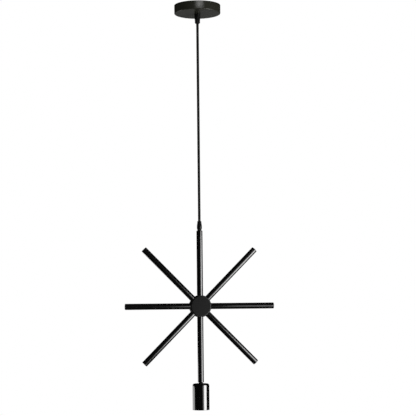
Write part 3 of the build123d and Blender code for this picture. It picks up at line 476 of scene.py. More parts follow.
CANOPY_PAINT = Finish(
    "canopy_satin_paint", "canopy_paint", (0.0195, 0.0195, 0.0145), roughness=0.24,
    relief=Relief.POWDER, relief_size=0.45, relief_depth=0.006,
    tone_spread=0.25, patch_size=25.0, dust=0.12,
)
GLOSS_BLACK = Finish(
    "gloss_black_lacquer", "gloss_black_paint", (0.003, 0.003, 0.003), roughness=0.16,
    relief=Relief.PEEL, relief_size=3.0, relief_depth=0.002,
    ior=1.8, tone_spread=0.3, rough_spread=0.25, patch_size=18.0, dust=0.03,
)
CUP_BLACK = Finish(
    "cup_black_lacquer", "gloss_black_paint", (0.002, 0.002, 0.002), roughness=0.08,
    relief=Relief.PEEL, relief_size=5.0, relief_depth=0.002,
    ior=2.2, tone_spread=0.3, patch_size=20.0, dust=0.02,
)
HUB_BLACK = Finish(
    "hub_satin_black", "gloss_black_paint", (0.006, 0.006, 0.006), roughness=0.5,
    relief=Relief.PEEL, relief_size=2.0, relief_depth=0.003,
    ior=1.45, tone_spread=0.3, rough_spread=0.25, dust=0.03,
)
MATT_BLACK = Finish(
    "hub_matt_black", "matt_black_paint", (0.008, 0.008, 0.008), roughness=0.8,
    relief=Relief.POWDER, relief_size=0.4, relief_depth=0.02,
    ior=1.3, tone_spread=0.3, patch_size=9.0, dust=0.05,
)
GRIP_PLASTIC = Finish(
    "grip_black_plastic", "black_plastic", (0.005, 0.005, 0.005), roughness=0.32,
    relief=Relief.GRAIN, relief_size=0.35, relief_depth=0.008,
    ior=1.3, patch_size=5.0, dust=0.08,
)
PALE_PLASTIC = Finish(
    "pale_plastic", "natural_plastic", (0.78, 0.76, 0.7), roughness=0.42,
    relief=Relief.GRAIN, relief_size=0.5, relief_depth=0.012,
    tone_spread=0.08, patch_size=6.0, dust=0.05,
)
# Its braid relief also paints shade into the weave's dips and light onto its crests.
BRAIDED_SHEATH = Finish(
    "braided_sheath", "cord_sheath", (0.009, 0.009, 0.008), roughness=0.9,
    relief=Relief.BRAID, relief_size=1.18, relief_depth=0.035,
    ior=1.25, sheen=0.03, rough_spread=0.1, patch_size=30.0, dust=0.04,
)
BROWN_CORE = Finish(
    "brown_core", "brown_insulation", (0.14, 0.055, 0.022), roughness=0.38,
    relief=Relief.GRAIN, relief_size=0.8, relief_depth=0.01, patch_size=6.0,
)
BLUE_CORE = Finish(
    "blue_core", "blue_insulation", (0.035, 0.14, 0.42), roughness=0.38,
    relief=Relief.GRAIN, relief_size=0.8, relief_depth=0.01, patch_size=6.0,
)
GREEN_CORE = Finish(
    "green_core", "green_insulation", (0.22, 0.42, 0.05), roughness=0.38,
    relief=Relief.GRAIN, relief_size=0.8, relief_depth=0.01, patch_size=6.0,
)
ZINC = Finish(
    "zinc_plate", "plated_steel", (0.6, 0.6, 0.58), roughness=0.34,
    relief=Relief.SCRATCHES, relief_size=0.6, relief_depth=0.006,
    metallic=1.0, tone_spread=0.25, rough_spread=0.6, patch_size=7.0, dust=0.05,
)
BLACK_STEEL = Finish(
    "blackened_steel", "black_steel", (0.05, 0.05, 0.05), roughness=0.34,
    relief=Relief.SCRATCHES, relief_size=0.5, relief_depth=0.006,
    metallic=0.6, tone_spread=0.4, rough_spread=0.5, patch_size=4.0,
)
BRASS = Finish(
    "plain_brass", "plain_brass", (0.72, 0.5, 0.2), roughness=0.28,
    relief=Relief.SCRATCHES, relief_size=0.5, relief_depth=0.005,
    metallic=1.0, tone_spread=0.35, rough_spread=0.6, patch_size=6.0,
)
GLAZE = Finish(
    "glazed_ceramic", "glazed_insulator", (0.8, 0.79, 0.75), roughness=0.22,
    relief=Relief.PEEL, relief_size=2.0, relief_depth=0.006,
    coat=0.6, tone_spread=0.06, patch_size=8.0,
)


def rounded(corners: Sequence[Corner], closed: bool = True, step: float = 12.0) -> list[Point]:
    """Rounds the corners of an outline.

    Args:
        corners: the outline's corners, each (x, y, rounding radius).
        closed: whether the last corner joins the first.
        step: the greatest turn between two points of an arc, in degrees.

    Returns:
        The outline's points.
    """
    points: list[Point] = []
    count = len(corners)
    for index, (x, y, radius) in enumerate(corners):
        here = Vector((x, y))
        inner = closed or 0 < index < count - 1
        if not radius or not inner:
            points.append((x, y))
            continue
        back = (Vector(corners[index - 1][:2]) - here).normalized()
        ahead = (Vector(corners[(index + 1) % count][:2]) - here).normalized()
        half = back.angle(ahead) / 2
        centre = here + (back + ahead).normalized() * radius / math.sin(half)
        start = here + back * radius / math.tan(half) - centre
        turn = math.pi - 2 * half
        steps = max(2, math.ceil(math.degrees(turn) / step))
        sign = -1 if back.cross(ahead) > 0 else 1
        for number in range(steps + 1):
            spoke = start.copy()
            spoke.rotate(Matrix.Rotation(sign * turn * number / steps, 2))
            points.append(tuple(centre + spoke))
    return points


def polar(radius: float, turn: float, height: float) -> Vector:
    """A point by its distance from the Z axis, its angle in turns and its height."""
    angle = 2 * math.pi * turn
    return Vector((radius * math.cos(angle), radius * math.sin(angle), height))


def circle(radius: float, height: float, sides: int) -> list[Vector]:
    """A level ring of points round the Z axis."""
    return [polar(radius, side / sides, height) for side in range(sides)]


def ring_piece(
    name: str, rings: Sequence[Sequence[Vector]], closed: bool = True, sharp: float = 32.0
) -> bpy.types.Object:
    """Skins a row of rings of points.

    Args:
        name: the piece's name.
        rings: rings of points in millimetres, all of one count.
        closed: whether the last ring joins the first.
        sharp: the angle above which an edge is sharp, in degrees.

    Returns:
        The new object, at the origin.
    """
    shape = bmesh.new()
    made = [[shape.verts.new(point * MM) for point in ring] for ring in rings]
    count = len(made[0])
    last = len(made) if closed else len(made) - 1
    for index in range(last):
        low, high = made[index], made[(index + 1) % len(made)]
        for side in range(count):
            after = (side + 1) % count
            shape.faces.new((low[side], low[after], high[after], high[side]))
    bmesh.ops.remove_doubles(shape, verts=shape.verts, dist=WELD * MM)
    bmesh.ops.dissolve_degenerate(shape, edges=shape.edges, dist=SLIVER * MM)
    bmesh.ops.recalc_face_normals(shape, faces=shape.faces)
    mesh = bpy.data.meshes.new(name)
    shape.to_mesh(mesh)
    shape.free()
    mesh.shade_smooth()
    mesh.set_sharp_from_angle(angle=math.radians(sharp))
    piece = bpy.data.objects.new(name, mesh)
    bpy.context.scene.collection.objects.link(piece)
    return piece


def turned(
    name: str, corners: Sequence[Corner], sides: int = 64, closed: bool = True
) -> bpy.types.Object:
    """A piece turned round the Z axis.

    Args:
        name: the piece's name.
        corners: the outline, each corner (radius, height, rounding radius).
        sides: how many sides the turned piece has.
        closed: whether the outline's last corner joins its first.

    Returns:
        The new object.
    """
    outline = rounded(corners, closed)
    return ring_piece(name, [circle(radius, height, sides) for radius, height in outline], closed)


@dataclass(frozen=True)
class Thread:
    """A screw thread: crest radius, depth, pitch, rings to a turn, and whether it is rounded."""

    crest: float
    depth: float
    pitch: float
    steps: int = 8
    knuckle: bool = False

    def radius(self, height: float, turn: float) -> float:
        """The thread's radius.

        Args:
            height: the height on the axis.
            turn: the angle round it, in turns.

        Returns:
            The radius there.
        """
        phase = (height / self.pitch - turn) % 1
        wave = 0.5 - 0.5 * math.cos(2 * math.pi * phase) if self.knuckle else abs(2 * phase - 1)
        return self.crest - self.depth * wave

    def ring(self, height: float, from_end: float, sides: int) -> list[Vector]:
        """One ring of the thread, chamfered near an end.

        Args:
            height: the ring's height.
            from_end: how far the nearer end is.
            sides: how many points the ring has.

        Returns:
            The ring's points.
        """
        cap = self.crest - self.depth + from_end
        turns = [side / sides for side in range(sides)]
        return [polar(min(self.radius(height, turn), cap), turn, height) for turn in turns]


@dataclass(frozen=True)
class Nipple:
    """A hollow M10 rod on the Z axis, threaded from end to end."""

    name: str
    low: float
    high: float
    thread: Thread = Thread(crest=5.0, depth=0.5, pitch=1.0)
    bore: float = 3.5
    sides: int = 48
    sharp: float = 50.0

    def rod(self) -> bpy.types.Object:
        """Builds the rod.

        Returns:
            The new object.
        """
        rings = [circle(self.bore, self.high, self.sides), circle(self.bore, self.low, self.sides)]
        length = self.high - self.low
        steps = math.ceil(length / self.thread.pitch * self.thread.steps)
        for step in range(steps + 1):
            height = self.low + length * step / steps
            from_end = min(height - self.low, self.high - height)
            rings.append(self.thread.ring(height, from_end, self.sides))
        return ring_piece(self.name, rings, sharp=self.sharp)


def settle(piece: bpy.types.Object, body: Body, finish: Finish, *nodes: str) -> bpy.types.Object:
    """Gives a piece its finish and its body, and hides the CAD nodes that it stands for.

    Args:
        piece: the piece, in place.
        body: the body that it rides on.
        finish: its finish.
        nodes: the CAD nodes that it replaces.

    Returns:
        The piece.
    """
    piece.data.materials.append(finish.material())
    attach(piece, body.value)
    if nodes:
        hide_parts(*nodes)
    LOG.info("%s rides on %s in %s", piece.name, body.value, finish.name)
    return piece


def dress(finish: Finish, *nodes: str) -> None:
    """Puts a finish on CAD nodes that stay as they are.

    Args:
        finish: the finish.
        nodes: the nodes' names.
    """
    for name in nodes:
        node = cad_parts[name]
        if not node.material_slots:
            node.data.materials.append(None)
        for slot in node.material_slots:
            slot.material = finish.material()
        LOG.info("%s stays, in %s", name, finish.name)


@dataclass
class Cord:
    """The braided cord, its tail inside the canopy and its end inside the upper stem.

    It hangs from a ball at the pivot of its bend.
    """

    radius: float = 3.0
    pivot_z: float = -46.3
    pivot_gap: float = 1.55
    ball_radius: float = 3.25
    ball_steps: int = 24
    end_z: float = -507.0
    tail_top_z: float = -5.5
    stem_end_z: float = -549.0
    seam: float = 0.05
    spans: int = 6
    resolution: int = 12

    def strand(self, name: str, heights: Sequence[float]) -> bpy.types.Object:
        """A straight run of cord on the Z axis, one open NURBS spline.

        Args:
            name: the piece's name.
            heights: the heights of the spline's points.

        Returns:
            The curve object.
        """
        line = bpy.data.curves.new(name, "CURVE")
        line.dimensions = "3D"
        line.bevel_depth = self.radius * MM
        line.bevel_resolution = self.resolution
        line.use_fill_caps = True
        spline = line.splines.new("NURBS")
        spline.points.add(len(heights) - 1)
        for point, height in zip(spline.points, heights):
            point.co = (0.0, 0.0, height * MM, 1.0)
        spline.order_u = 3
        spline.use_endpoint_u = True
        piece = bpy.data.objects.new(name, line)
        bpy.context.scene.collection.objects.link(piece)
        return piece

    def ball(self) -> bpy.types.Object:
        """The ball of sheath that closes the bend at every angle of the cord.

        Returns:
            The new object.
        """
        outline = []
        for part in range(self.ball_steps + 1):
            turn = math.pi * part / self.ball_steps
            height = self.pivot_z + self.ball_radius * math.cos(turn)
            outline.append((self.ball_radius * math.sin(turn), height, 0))
        return turned("cord_knuckle", outline, closed=False)

    def build(self) -> None:
        """Hangs the cord between its two grips, and the ends that the grips hold."""
        top_z = self.pivot_z - self.pivot_gap
        drop = top_z - self.end_z
        heights = [top_z - drop * part / self.spans for part in range(self.spans + 1)]
        hanging = self.strand("hanging_cord", heights)
        settle(hanging, Body.CORD, BRAIDED_SHEATH, "pendant_cord")
        knuckle = settle(self.ball(), Body.PIVOT, BRAIDED_SHEATH, "cord_bend")
        heights = [self.tail_top_z, self.pivot_z / 2, self.pivot_z + self.pivot_gap]
        tail = self.strand("cord_tail", heights)
        settle(tail, Body.CANOPY, BRAIDED_SHEATH, "canopy_cord_tail")
        heights = [self.end_z - self.seam, self.end_z - self.radius, self.stem_end_z]
        lower = self.strand("cord_lower_end", heights)
        settle(lower, Body.STAR, BRAIDED_SHEATH, "stem_cord_end")


@dataclass
class CordGrip:
    """A tapered cord grip: base, split collet and fluted nut, built upwards from its seat.

    The seat, shoulder, parting, end, ring, nose, boss and bores are given by their radii, and
    the edges, lip and roots by their rounding.
    """

    name: str
    body: Body
    place: Matrix
    seat: float
    shoulder: float
    shoulder_height: float
    parting: float
    end: float
    ring: float
    nose: float
    nut_length: float
    base_length: float = 8.0
    base_sides: int = 96
    shoulder_round: float = 1.0
    boss: float = 4.6
    boss_length: float = 4.0
    bore: float = 3.2
    socket_bore: float = 5.05
    socket_depth: float = 6.0
    gap: float = 0.3
    thread_fit: float = 0.05
    throat_step: float = 0.55
    edge: float = 0.4
    lip: float = 0.3
    inner_edge: float = 0.2
    root: float = 0.1
    ring_root: float = 0.15
    nose_wall: float = 2.0
    nose_length: float = 1.4
    ring_length: float = 1.2
    flutes: int = 12
    flute_depth: float = 0.45
    flute_fullness: float = 0.8
    flute_fade: float = 0.5
    flute_start: float = 1.2
    flute_stop: float = 0.9
    flute_steps: int = 28
    nut_sides: int = 144

    def base(self) -> bpy.types.Object:
        """The base that screws on the nipple, with the boss for the nut.

        Returns:
            The new object.
        """
        length, top = self.base_length, self.base_length + self.boss_length
        corners = [(self.socket_bore, 0, self.inner_edge), (self.seat, 0, self.edge)]
        corners += [(self.shoulder, self.shoulder_height, self.shoulder_round)]
        corners += [(self.parting, length, self.edge), (self.boss, length, self.root)]
        corners += [(self.boss, top, self.lip), (self.bore, top, self.inner_edge)]
        corners += [(self.bore, self.socket_depth, 0), (self.socket_bore, self.socket_depth, 0)]
        return turned(self.name + "_base_shell", corners, self.base_sides)

    def flute(self, radius: float, height: float, turn: float, low: float, high: float) -> float:
        """The nut's radius where its flutes are cut.

        Args:
            radius: the uncut radius.
            height: the height on the nut.
            turn: the angle round it, in turns.
            low: where the flutes start.
            high: where the flutes end.

        Returns:
            The cut radius.
        """
        middle, reach = (low + high) / 2, (high - low) / 2
        fade = min(1.0, max(0.0, (reach - abs(height - middle)) / self.flute_fade))
        wave = max(0.0, math.cos(2 * math.pi * self.flutes * turn))
        groove = wave ** self.flute_fullness
        return radius - self.flute_depth * groove * math.sin(fade * math.pi / 2)

    def nut(self) -> bpy.types.Object:
        """The fluted nut, from just above the parting line to its nose.

        Returns:
            The new object.
        """
        length, ring_top = self.nut_length, self.nut_length - self.nose_length
        ring_low = ring_top - self.ring_length
        pocket_top = length - self.nose_wall
        pocket, throat = self.boss + self.thread_fit, self.bore + self.throat_step
        corners = [(pocket, self.gap, self.root), (self.parting, self.gap, self.edge)]
        corners += [(self.end, ring_low, self.ring_root), (self.ring, ring_low, self.inner_edge)]
        corners += [(self.ring, ring_top, self.edge), (self.nose, length, self.edge)]
        corners += [(self.bore, length, self.lip), (self.bore, pocket_top, 0)]
        corners += [(throat, pocket_top, 0), (pocket, self.boss_length, 0)]
        outline = rounded(corners)
        # The flank's own points go in behind the lower outer edge, which is rounded.
        edge_top = self.gap + self.edge + self.root
        start = max(
            index for index, (radius, height) in enumerate(outline)
            if height < edge_top and radius > pocket
        )
        low, high = self.gap + self.flute_start, ring_low - self.flute_stop
        slope = (self.end - self.parting) / (ring_low - self.gap)
        flank = []
        for step in range(self.flute_steps + 1):
            height = low + (high - low) * step / self.flute_steps
            flank.append((self.parting + slope * (height - self.gap), height))
        outline[start + 1:start + 1] = flank
        rings = []
        for radius, height in outline:
            ring = []
            for side in range(self.nut_sides):
                turn = side / self.nut_sides
                fluted = (radius, height) in flank
                cut = self.flute(radius, height, turn, low, high) if fluted else radius
                ring.append(polar(cut, turn, height))
            rings.append(ring)
        nut = ring_piece(self.name + "_fluted_nut", rings)
        nut.data.transform(Matrix.Translation((0, 0, self.base_length * MM)))
        return nut

    def build(self) -> None:
        """Builds the grip and puts it in its place."""
        for piece, node in ((self.base(), "_base"), (self.nut(), "_nut")):
            piece.data.transform(self.place)
            settle(piece, self.body, GRIP_PLASTIC, self.name + node)
        dress(PALE_PLASTIC, self.name + "_collet")


@dataclass
class Canopy:
    """The ceiling cup with the bracket, terminal block and earth point inside it."""

    radius: float = 54.0
    height: float = 20.0
    wall: float = 1.2
    edge: float = 1.6
    rim_edge: float = 0.35
    hole_radius: float = 5.3
    hole_edge: float = 0.2
    sides: int = 192
    nipple_top_z: float = -6.5
    nipple_end_z: float = -25.7

    def cup(self) -> bpy.types.Object:
        """The spun cup with its rounded edge, open at the ceiling.

        Returns:
            The new object.
        """
        inner, face = self.radius - self.wall, -self.height
        floor = face + self.wall
        corners = [(self.hole_radius, face, self.hole_edge), (self.radius, face, self.edge)]
        corners += [(self.radius, 0, self.rim_edge), (inner, 0, self.rim_edge)]
        corners += [(inner, floor, self.edge - self.wall)]
        corners += [(self.hole_radius, floor, self.hole_edge)]
        return turned("ceiling_cup", corners, self.sides)

    def build(self) -> None:
        """Builds the cup, the nipple and the grip, and dresses what lies inside."""
        settle(self.cup(), Body.CANOPY, CANOPY_PAINT, "canopy_cup")
        nipple = Nipple("ceiling_nipple", self.nipple_end_z, self.nipple_top_z).rod()
        settle(nipple, Body.CANOPY, ZINC, "canopy_nipple")
        dress(ZINC, "ceiling_bracket", "bracket_lock_nuts", "terminal_block_screws")
        dress(ZINC, "bracket_earth_screw", "bracket_earth_lug")
        dress(PALE_PLASTIC, "terminal_block")
        dress(BRASS, "terminal_barrels")
        dress(BROWN_CORE, "canopy_live_core")
        dress(BLUE_CORE, "canopy_neutral_core")
        dress(GREEN_CORE, "canopy_earth_core")
        hanging = Matrix.Rotation(math.pi, 4, "X")
        CordGrip(
            "canopy_grip", Body.CANOPY, Matrix.Translation((0, 0, -self.height * MM)) @ hanging,
            seat=7.2, shoulder=7.2, shoulder_height=2.0, parting=6.9, end=5.8, ring=6.2, nose=4.6,
            nut_length=15.0,
        ).build()


class Arm(Enum):
    """The eight tubes, each by its node and its angle from the top, in degrees."""

    UPPER = ("upper_stem", 0.0)
    NORTH_EAST = ("arm_ne", 45.0)
    EAST = ("arm_e", 90.0)
    SOUTH_EAST = ("arm_se", 135.0)
    LOWER = ("lower_stem", 180.0)
    SOUTH_WEST = ("arm_sw", 225.0)
    WEST = ("arm_w", 270.0)
    NORTH_WEST = ("arm_nw", 315.0)


@dataclass
class Star:
    """The eight lacquered tubes, their end plugs, the hub and the lower cord grip."""

    hub_z: float = -703.3
    tube_radius: float = 7.0
    tube_wall: float = 1.0
    tube_sides: int = 96
    lip: float = 0.45
    seat_edge: float = 0.3
    bore_edge: float = 0.2
    seat: float = 23.2
    stem_reach: float = 174.3
    cross_reach: float = 175.0
    diagonal_reach: float = 185.3
    plug_thickness: float = 1.6
    plug_fit: float = 0.05
    plug_spigot: float = 6.0
    plug_spigot_edge: float = 0.4
    plug_edge: float = 0.6
    plug_seam: float = 0.12
    cover_radius: float = 22.4
    cover_thickness: float = 2.2
    cover_edge: float = 1.0
    cover_foot: float = 0.15
    cover_sides: int = 128
    hub_half: float = 7.7
    grip_seat_z: float = -526.0
    nipple_low_z: float = -539.0
    nipple_top_z: float = -520.3

    def out(self, angle: float) -> Matrix:
        """The place of a tube built up the Z axis from the hub's centre."""
        centre = Matrix.Translation((0, 0, self.hub_z * MM))
        return centre @ Matrix.Rotation(math.radians(angle), 4, "Y")

    def reach(self, arm: Arm) -> float:
        """How far a tube reaches from the hub's centre.

        Args:
            arm: which tube.

        Returns:
            The distance.
        """
        if arm in (Arm.UPPER, Arm.LOWER):
            return self.stem_reach
        return self.cross_reach if arm in (Arm.EAST, Arm.WEST) else self.diagonal_reach

    def tube_shell(self, arm: Arm) -> None:
        """One tube with softened lips, and the plug in its end where it has one.

        Args:
            arm: which tube.
        """
        node, angle = arm.value
        inner = self.tube_radius - self.tube_wall
        plugged = arm not in (Arm.UPPER, Arm.LOWER)
        end = self.reach(arm) - (self.plug_thickness if plugged else 0.0)
        corners = [(inner, self.seat, self.seat_edge), (self.tube_radius, self.seat, self.lip)]
        corners += [(self.tube_radius, end, self.plug_seam if plugged else self.lip)]
        corners += [(inner, end, self.bore_edge)]
        shell = turned(node + "_tube", corners, self.tube_sides)
        shell.matrix_world = self.out(angle)
        settle(shell, Body.STAR, GLOSS_BLACK, node)
        if plugged:
            self.plug_cap(arm, end)

    def plug_cap(self, arm: Arm, end: float) -> None:
        """The closed end of one arm.

        Args:
            arm: which arm.
            end: where its tube ends.
        """
        node, angle = arm.value
        foot, top = end - self.plug_spigot, end + self.plug_thickness
        spigot = self.tube_radius - self.tube_wall - self.plug_fit
        corners = [(0, foot, 0), (spigot, foot, self.plug_spigot_edge), (spigot, end, 0)]
        corners += [(self.tube_radius, end, self.plug_seam)]
        corners += [(self.tube_radius, top, self.plug_edge), (0, top, 0)]
        cap = turned(node + "_end_plug", corners, self.tube_sides, closed=False)
        cap.matrix_world = self.out(angle)
        settle(cap, Body.STAR, GLOSS_BLACK, "arm_end_plugs")

    def front_cover(self) -> bpy.types.Object:
        """The matt disc on the front of the hub.

        Returns:
            The new object.
        """
        low, high = self.hub_half, self.hub_half + self.cover_thickness
        corners = [(0, low, 0), (self.cover_radius, low, self.cover_foot)]
        corners += [(self.cover_radius, high, self.cover_edge), (0, high, 0)]
        disc = turned("hub_front_disc", corners, self.cover_sides, closed=False)
        centre = Matrix.Translation((0, 0, self.hub_z * MM))
        disc.matrix_world = centre @ Matrix.Rotation(math.pi / 2, 4, "X")
        return disc

    def build(self) -> None:
        """Builds the tubes, plugs, disc and grip, and dresses the hub."""
        for arm in Arm:
            self.tube_shell(arm)
        settle(self.front_cover(), Body.STAR, MATT_BLACK, "hub_front_cover")
        dress(HUB_BLACK, "hub_body")
        dress(MATT_BLACK, "hub_back_cover")
        dress(BLACK_STEEL, "back_cover_screws")
        dress(ZINC, "front_cover_screws", "hub_nipples", "hub_earth_screw", "hub_earth_lug")
        dress(BRASS, "tube_bushes")
        dress(BROWN_CORE, "live_core")
        dress(BLUE_CORE, "neutral_core")
        dress(GREEN_CORE, "earth_core")
        nipple = Nipple("stem_thread", self.nipple_low_z, self.nipple_top_z).rod()
        settle(nipple, Body.STAR, BLACK_STEEL, "stem_nipple")
        CordGrip(
            "stem_grip", Body.STAR, Matrix.Translation((0, 0, self.grip_seat_z * MM)),
            seat=5.5, shoulder=5.9, shoulder_height=4.5, parting=5.9, end=4.6, ring=4.9, nose=4.3,
            nut_length=11.0,
        ).build()


@dataclass
class LampHolder:
    """The lacquered cup with the lamp's socket in it."""

    top_z: float = -880.3
    height: float = 60.0
    radius: float = 19.25
    wall: float = 1.2
    shoulder_round: float = 4.5
    lip: float = 0.5
    hole_radius: float = 5.3
    hole_edge: float = 0.3
    cup_sides: int = 160
    nipple_low_z: float = -887.0
    nipple_top_z: float = -867.6
    shell_top_z: float = -911.3
    shell_bottom_z: float = -931.3
    shell_bore: float = 13.3
    shell_wall: float = 0.4
    flange_radius: float = 11.3
    shell_thread: Thread = Thread(crest=13.3, depth=1.1, pitch=3.62, steps=14, knuckle=True)
    thread_run_out: float = 2.2
    shell_sides: int = 96
    coil_low_z: float = -908.0
    coil_high_z: float = -904.5
    coil_radius: float = 2.9
    coil_wire: float = 0.25
    coil_turns: float = 4.0
    coil_flat: float = 0.5
    coil_steps: int = 48
    coil_sides: int = 14
    contact_travel: float = 1.5

    def cup(self) -> bpy.types.Object:
        """The cup, closed at its shoulder and open at the mouth.

        Returns:
            The new object.
        """
        inner, bottom = self.radius - self.wall, self.top_z - self.height
        ceiling = self.top_z - self.wall
        corners = [(self.hole_radius, self.top_z, self.hole_edge)]
        corners += [(self.radius, self.top_z, self.shoulder_round), (self.radius, bottom, self.lip)]
        corners += [(inner, bottom, self.lip), (inner, ceiling, self.shoulder_round - self.wall)]
        corners += [(self.hole_radius, ceiling, self.hole_edge)]
        return turned("holder_cup_shell", corners, self.cup_sides)

    def shell_ring(self, height: float, outward: float) -> list[Vector]:
        """One ring of the screw shell, plain near its ends.

        Args:
            height: the ring's height.
            outward: how far outside the bore it lies.

        Returns:
            The ring's points.
        """
        neck = self.shell_top_z - self.shell_wall
        from_end = min(height - self.shell_bottom_z, neck - height)
        ease = min(1.0, max(0.0, from_end / self.thread_run_out))
        points = []
        for side in range(self.shell_sides):
            turn = side / self.shell_sides
            full = self.shell_thread.radius(height, turn)
            radius = self.shell_bore + (full - self.shell_bore) * ease + outward
            points.append(polar(radius, turn, height))
        return points

    def screw_shell(self) -> bpy.types.Object:
        """The thin brass shell, rolled to the round lamp thread, with its flange at the top.

        Returns:
            The new object.
        """
        top, low = self.shell_top_z, self.shell_bottom_z
        neck = top - self.shell_wall
        steps = math.ceil((neck - low) / self.shell_thread.pitch * self.shell_thread.steps)
        heights = [low + (neck - low) * step / steps for step in range(steps + 1)]
        rings = [self.shell_ring(height, 0.0) for height in heights]
        rings += [circle(self.flange_radius, neck, self.shell_sides)]
        rings += [circle(self.flange_radius, top, self.shell_sides)]
        rings += [circle(self.shell_bore + self.shell_wall, top, self.shell_sides)]
        rings += [self.shell_ring(height, self.shell_wall) for height in reversed(heights)]
        return ring_piece("rolled_screw_shell", rings)

    def contact_coil(self) -> bpy.types.Object:
        """The contact's spring, wound with a flat half turn at each end.

        Returns:
            The new object.
        """
        risen = self.coil_turns - 2 * self.coil_flat
        rise = (self.coil_high_z - self.coil_low_z) / risen
        lead = rise / (2 * math.pi * self.coil_radius)
        spokes = [2 * math.pi * side / self.coil_sides for side in range(self.coil_sides)]
        steps = round(self.coil_steps * self.coil_turns)
        rings: list[list[Vector]] = []
        for step in range(steps + 1):
            turn = self.coil_turns * step / steps
            wound = min(max(turn - self.coil_flat, 0.0), risen)
            outward = polar(1.0, turn, 0.0)
            slope = lead if 0 < wound < risen else 0.0
            along = Vector((-outward.y, outward.x, slope)).normalized()
            over = along.cross(outward)
            height = self.coil_low_z + rise * wound
            centre = outward * self.coil_radius + Vector((0.0, 0.0, height))
            section = [outward * math.cos(spoke) + over * math.sin(spoke) for spoke in spokes]
            rings.append([centre + point * self.coil_wire for point in section])
            if step == 0:
                rings.insert(0, [centre] * self.coil_sides)
        rings.append([centre] * self.coil_sides)
        return ring_piece("wound_contact_spring", rings, closed=False)

    def build(self) -> None:
        """Builds the cup, thread, screw shell and spring, and dresses the socket."""
        settle(self.cup(), Body.STAR, CUP_BLACK, "holder_cup")
        nipple = Nipple("holder_thread", self.nipple_low_z, self.nipple_top_z).rod()
        settle(nipple, Body.STAR, BLACK_STEEL, "holder_nipple")
        settle(self.screw_shell(), Body.STAR, BRASS, "screw_shell")
        dress(GLAZE, "socket_body")
        coil = settle(self.contact_coil(), Body.STAR, ZINC, "contact_spring")
        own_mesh(coil)
        dress(ZINC, "holder_lock_nut", "socket_bracket", "socket_bracket_screws")
        dress(ZINC, "holder_terminal_screws")
        dress(BRASS, "centre_contact", "live_terminal", "neutral_terminal")


@dataclass(frozen=True)
class SoftBox:
    """A rectangular soft light that hangs beside the object and faces its axis.

    Its azimuth is measured from -Y towards +X, and it and the spread are in degrees. The other
    sizes are in metres, and its radiance is that of its face. It looks level unless aim_z is set.
    """

    name: str
    azimuth: float
    distance: float
    width: float
    low: float
    high: float
    radiance: float
    aim_z: float | None = None
    spread: float = 180.0

    def build(self) -> None:
        """Builds the lamp."""
        lamp = bpy.data.lights.new(self.name, "AREA")
        lamp.shape = "RECTANGLE"
        lamp.size, lamp.size_y = self.width, self.high - self.low
        lamp.energy = AREA_LAMP_POWER * lamp.size * lamp.size_y * self.radiance
        lamp.spread = math.radians(self.spread)
        box = bpy.data.objects.new(self.name, lamp)
        turn = math.radians(self.azimuth)
        middle = (self.low + self.high) / 2
        box.location = (math.sin(turn) * self.distance, -math.cos(turn) * self.distance, middle)
        aim = Vector((0, 0, middle if self.aim_z is None else self.aim_z)) - box.location
        box.rotation_euler = aim.to_track_quat("-Z", "Y").to_euler()
        box.visible_camera = False
        bpy.context.scene.collection.objects.link(box)
        LOG.info("%s is lit", self.name)


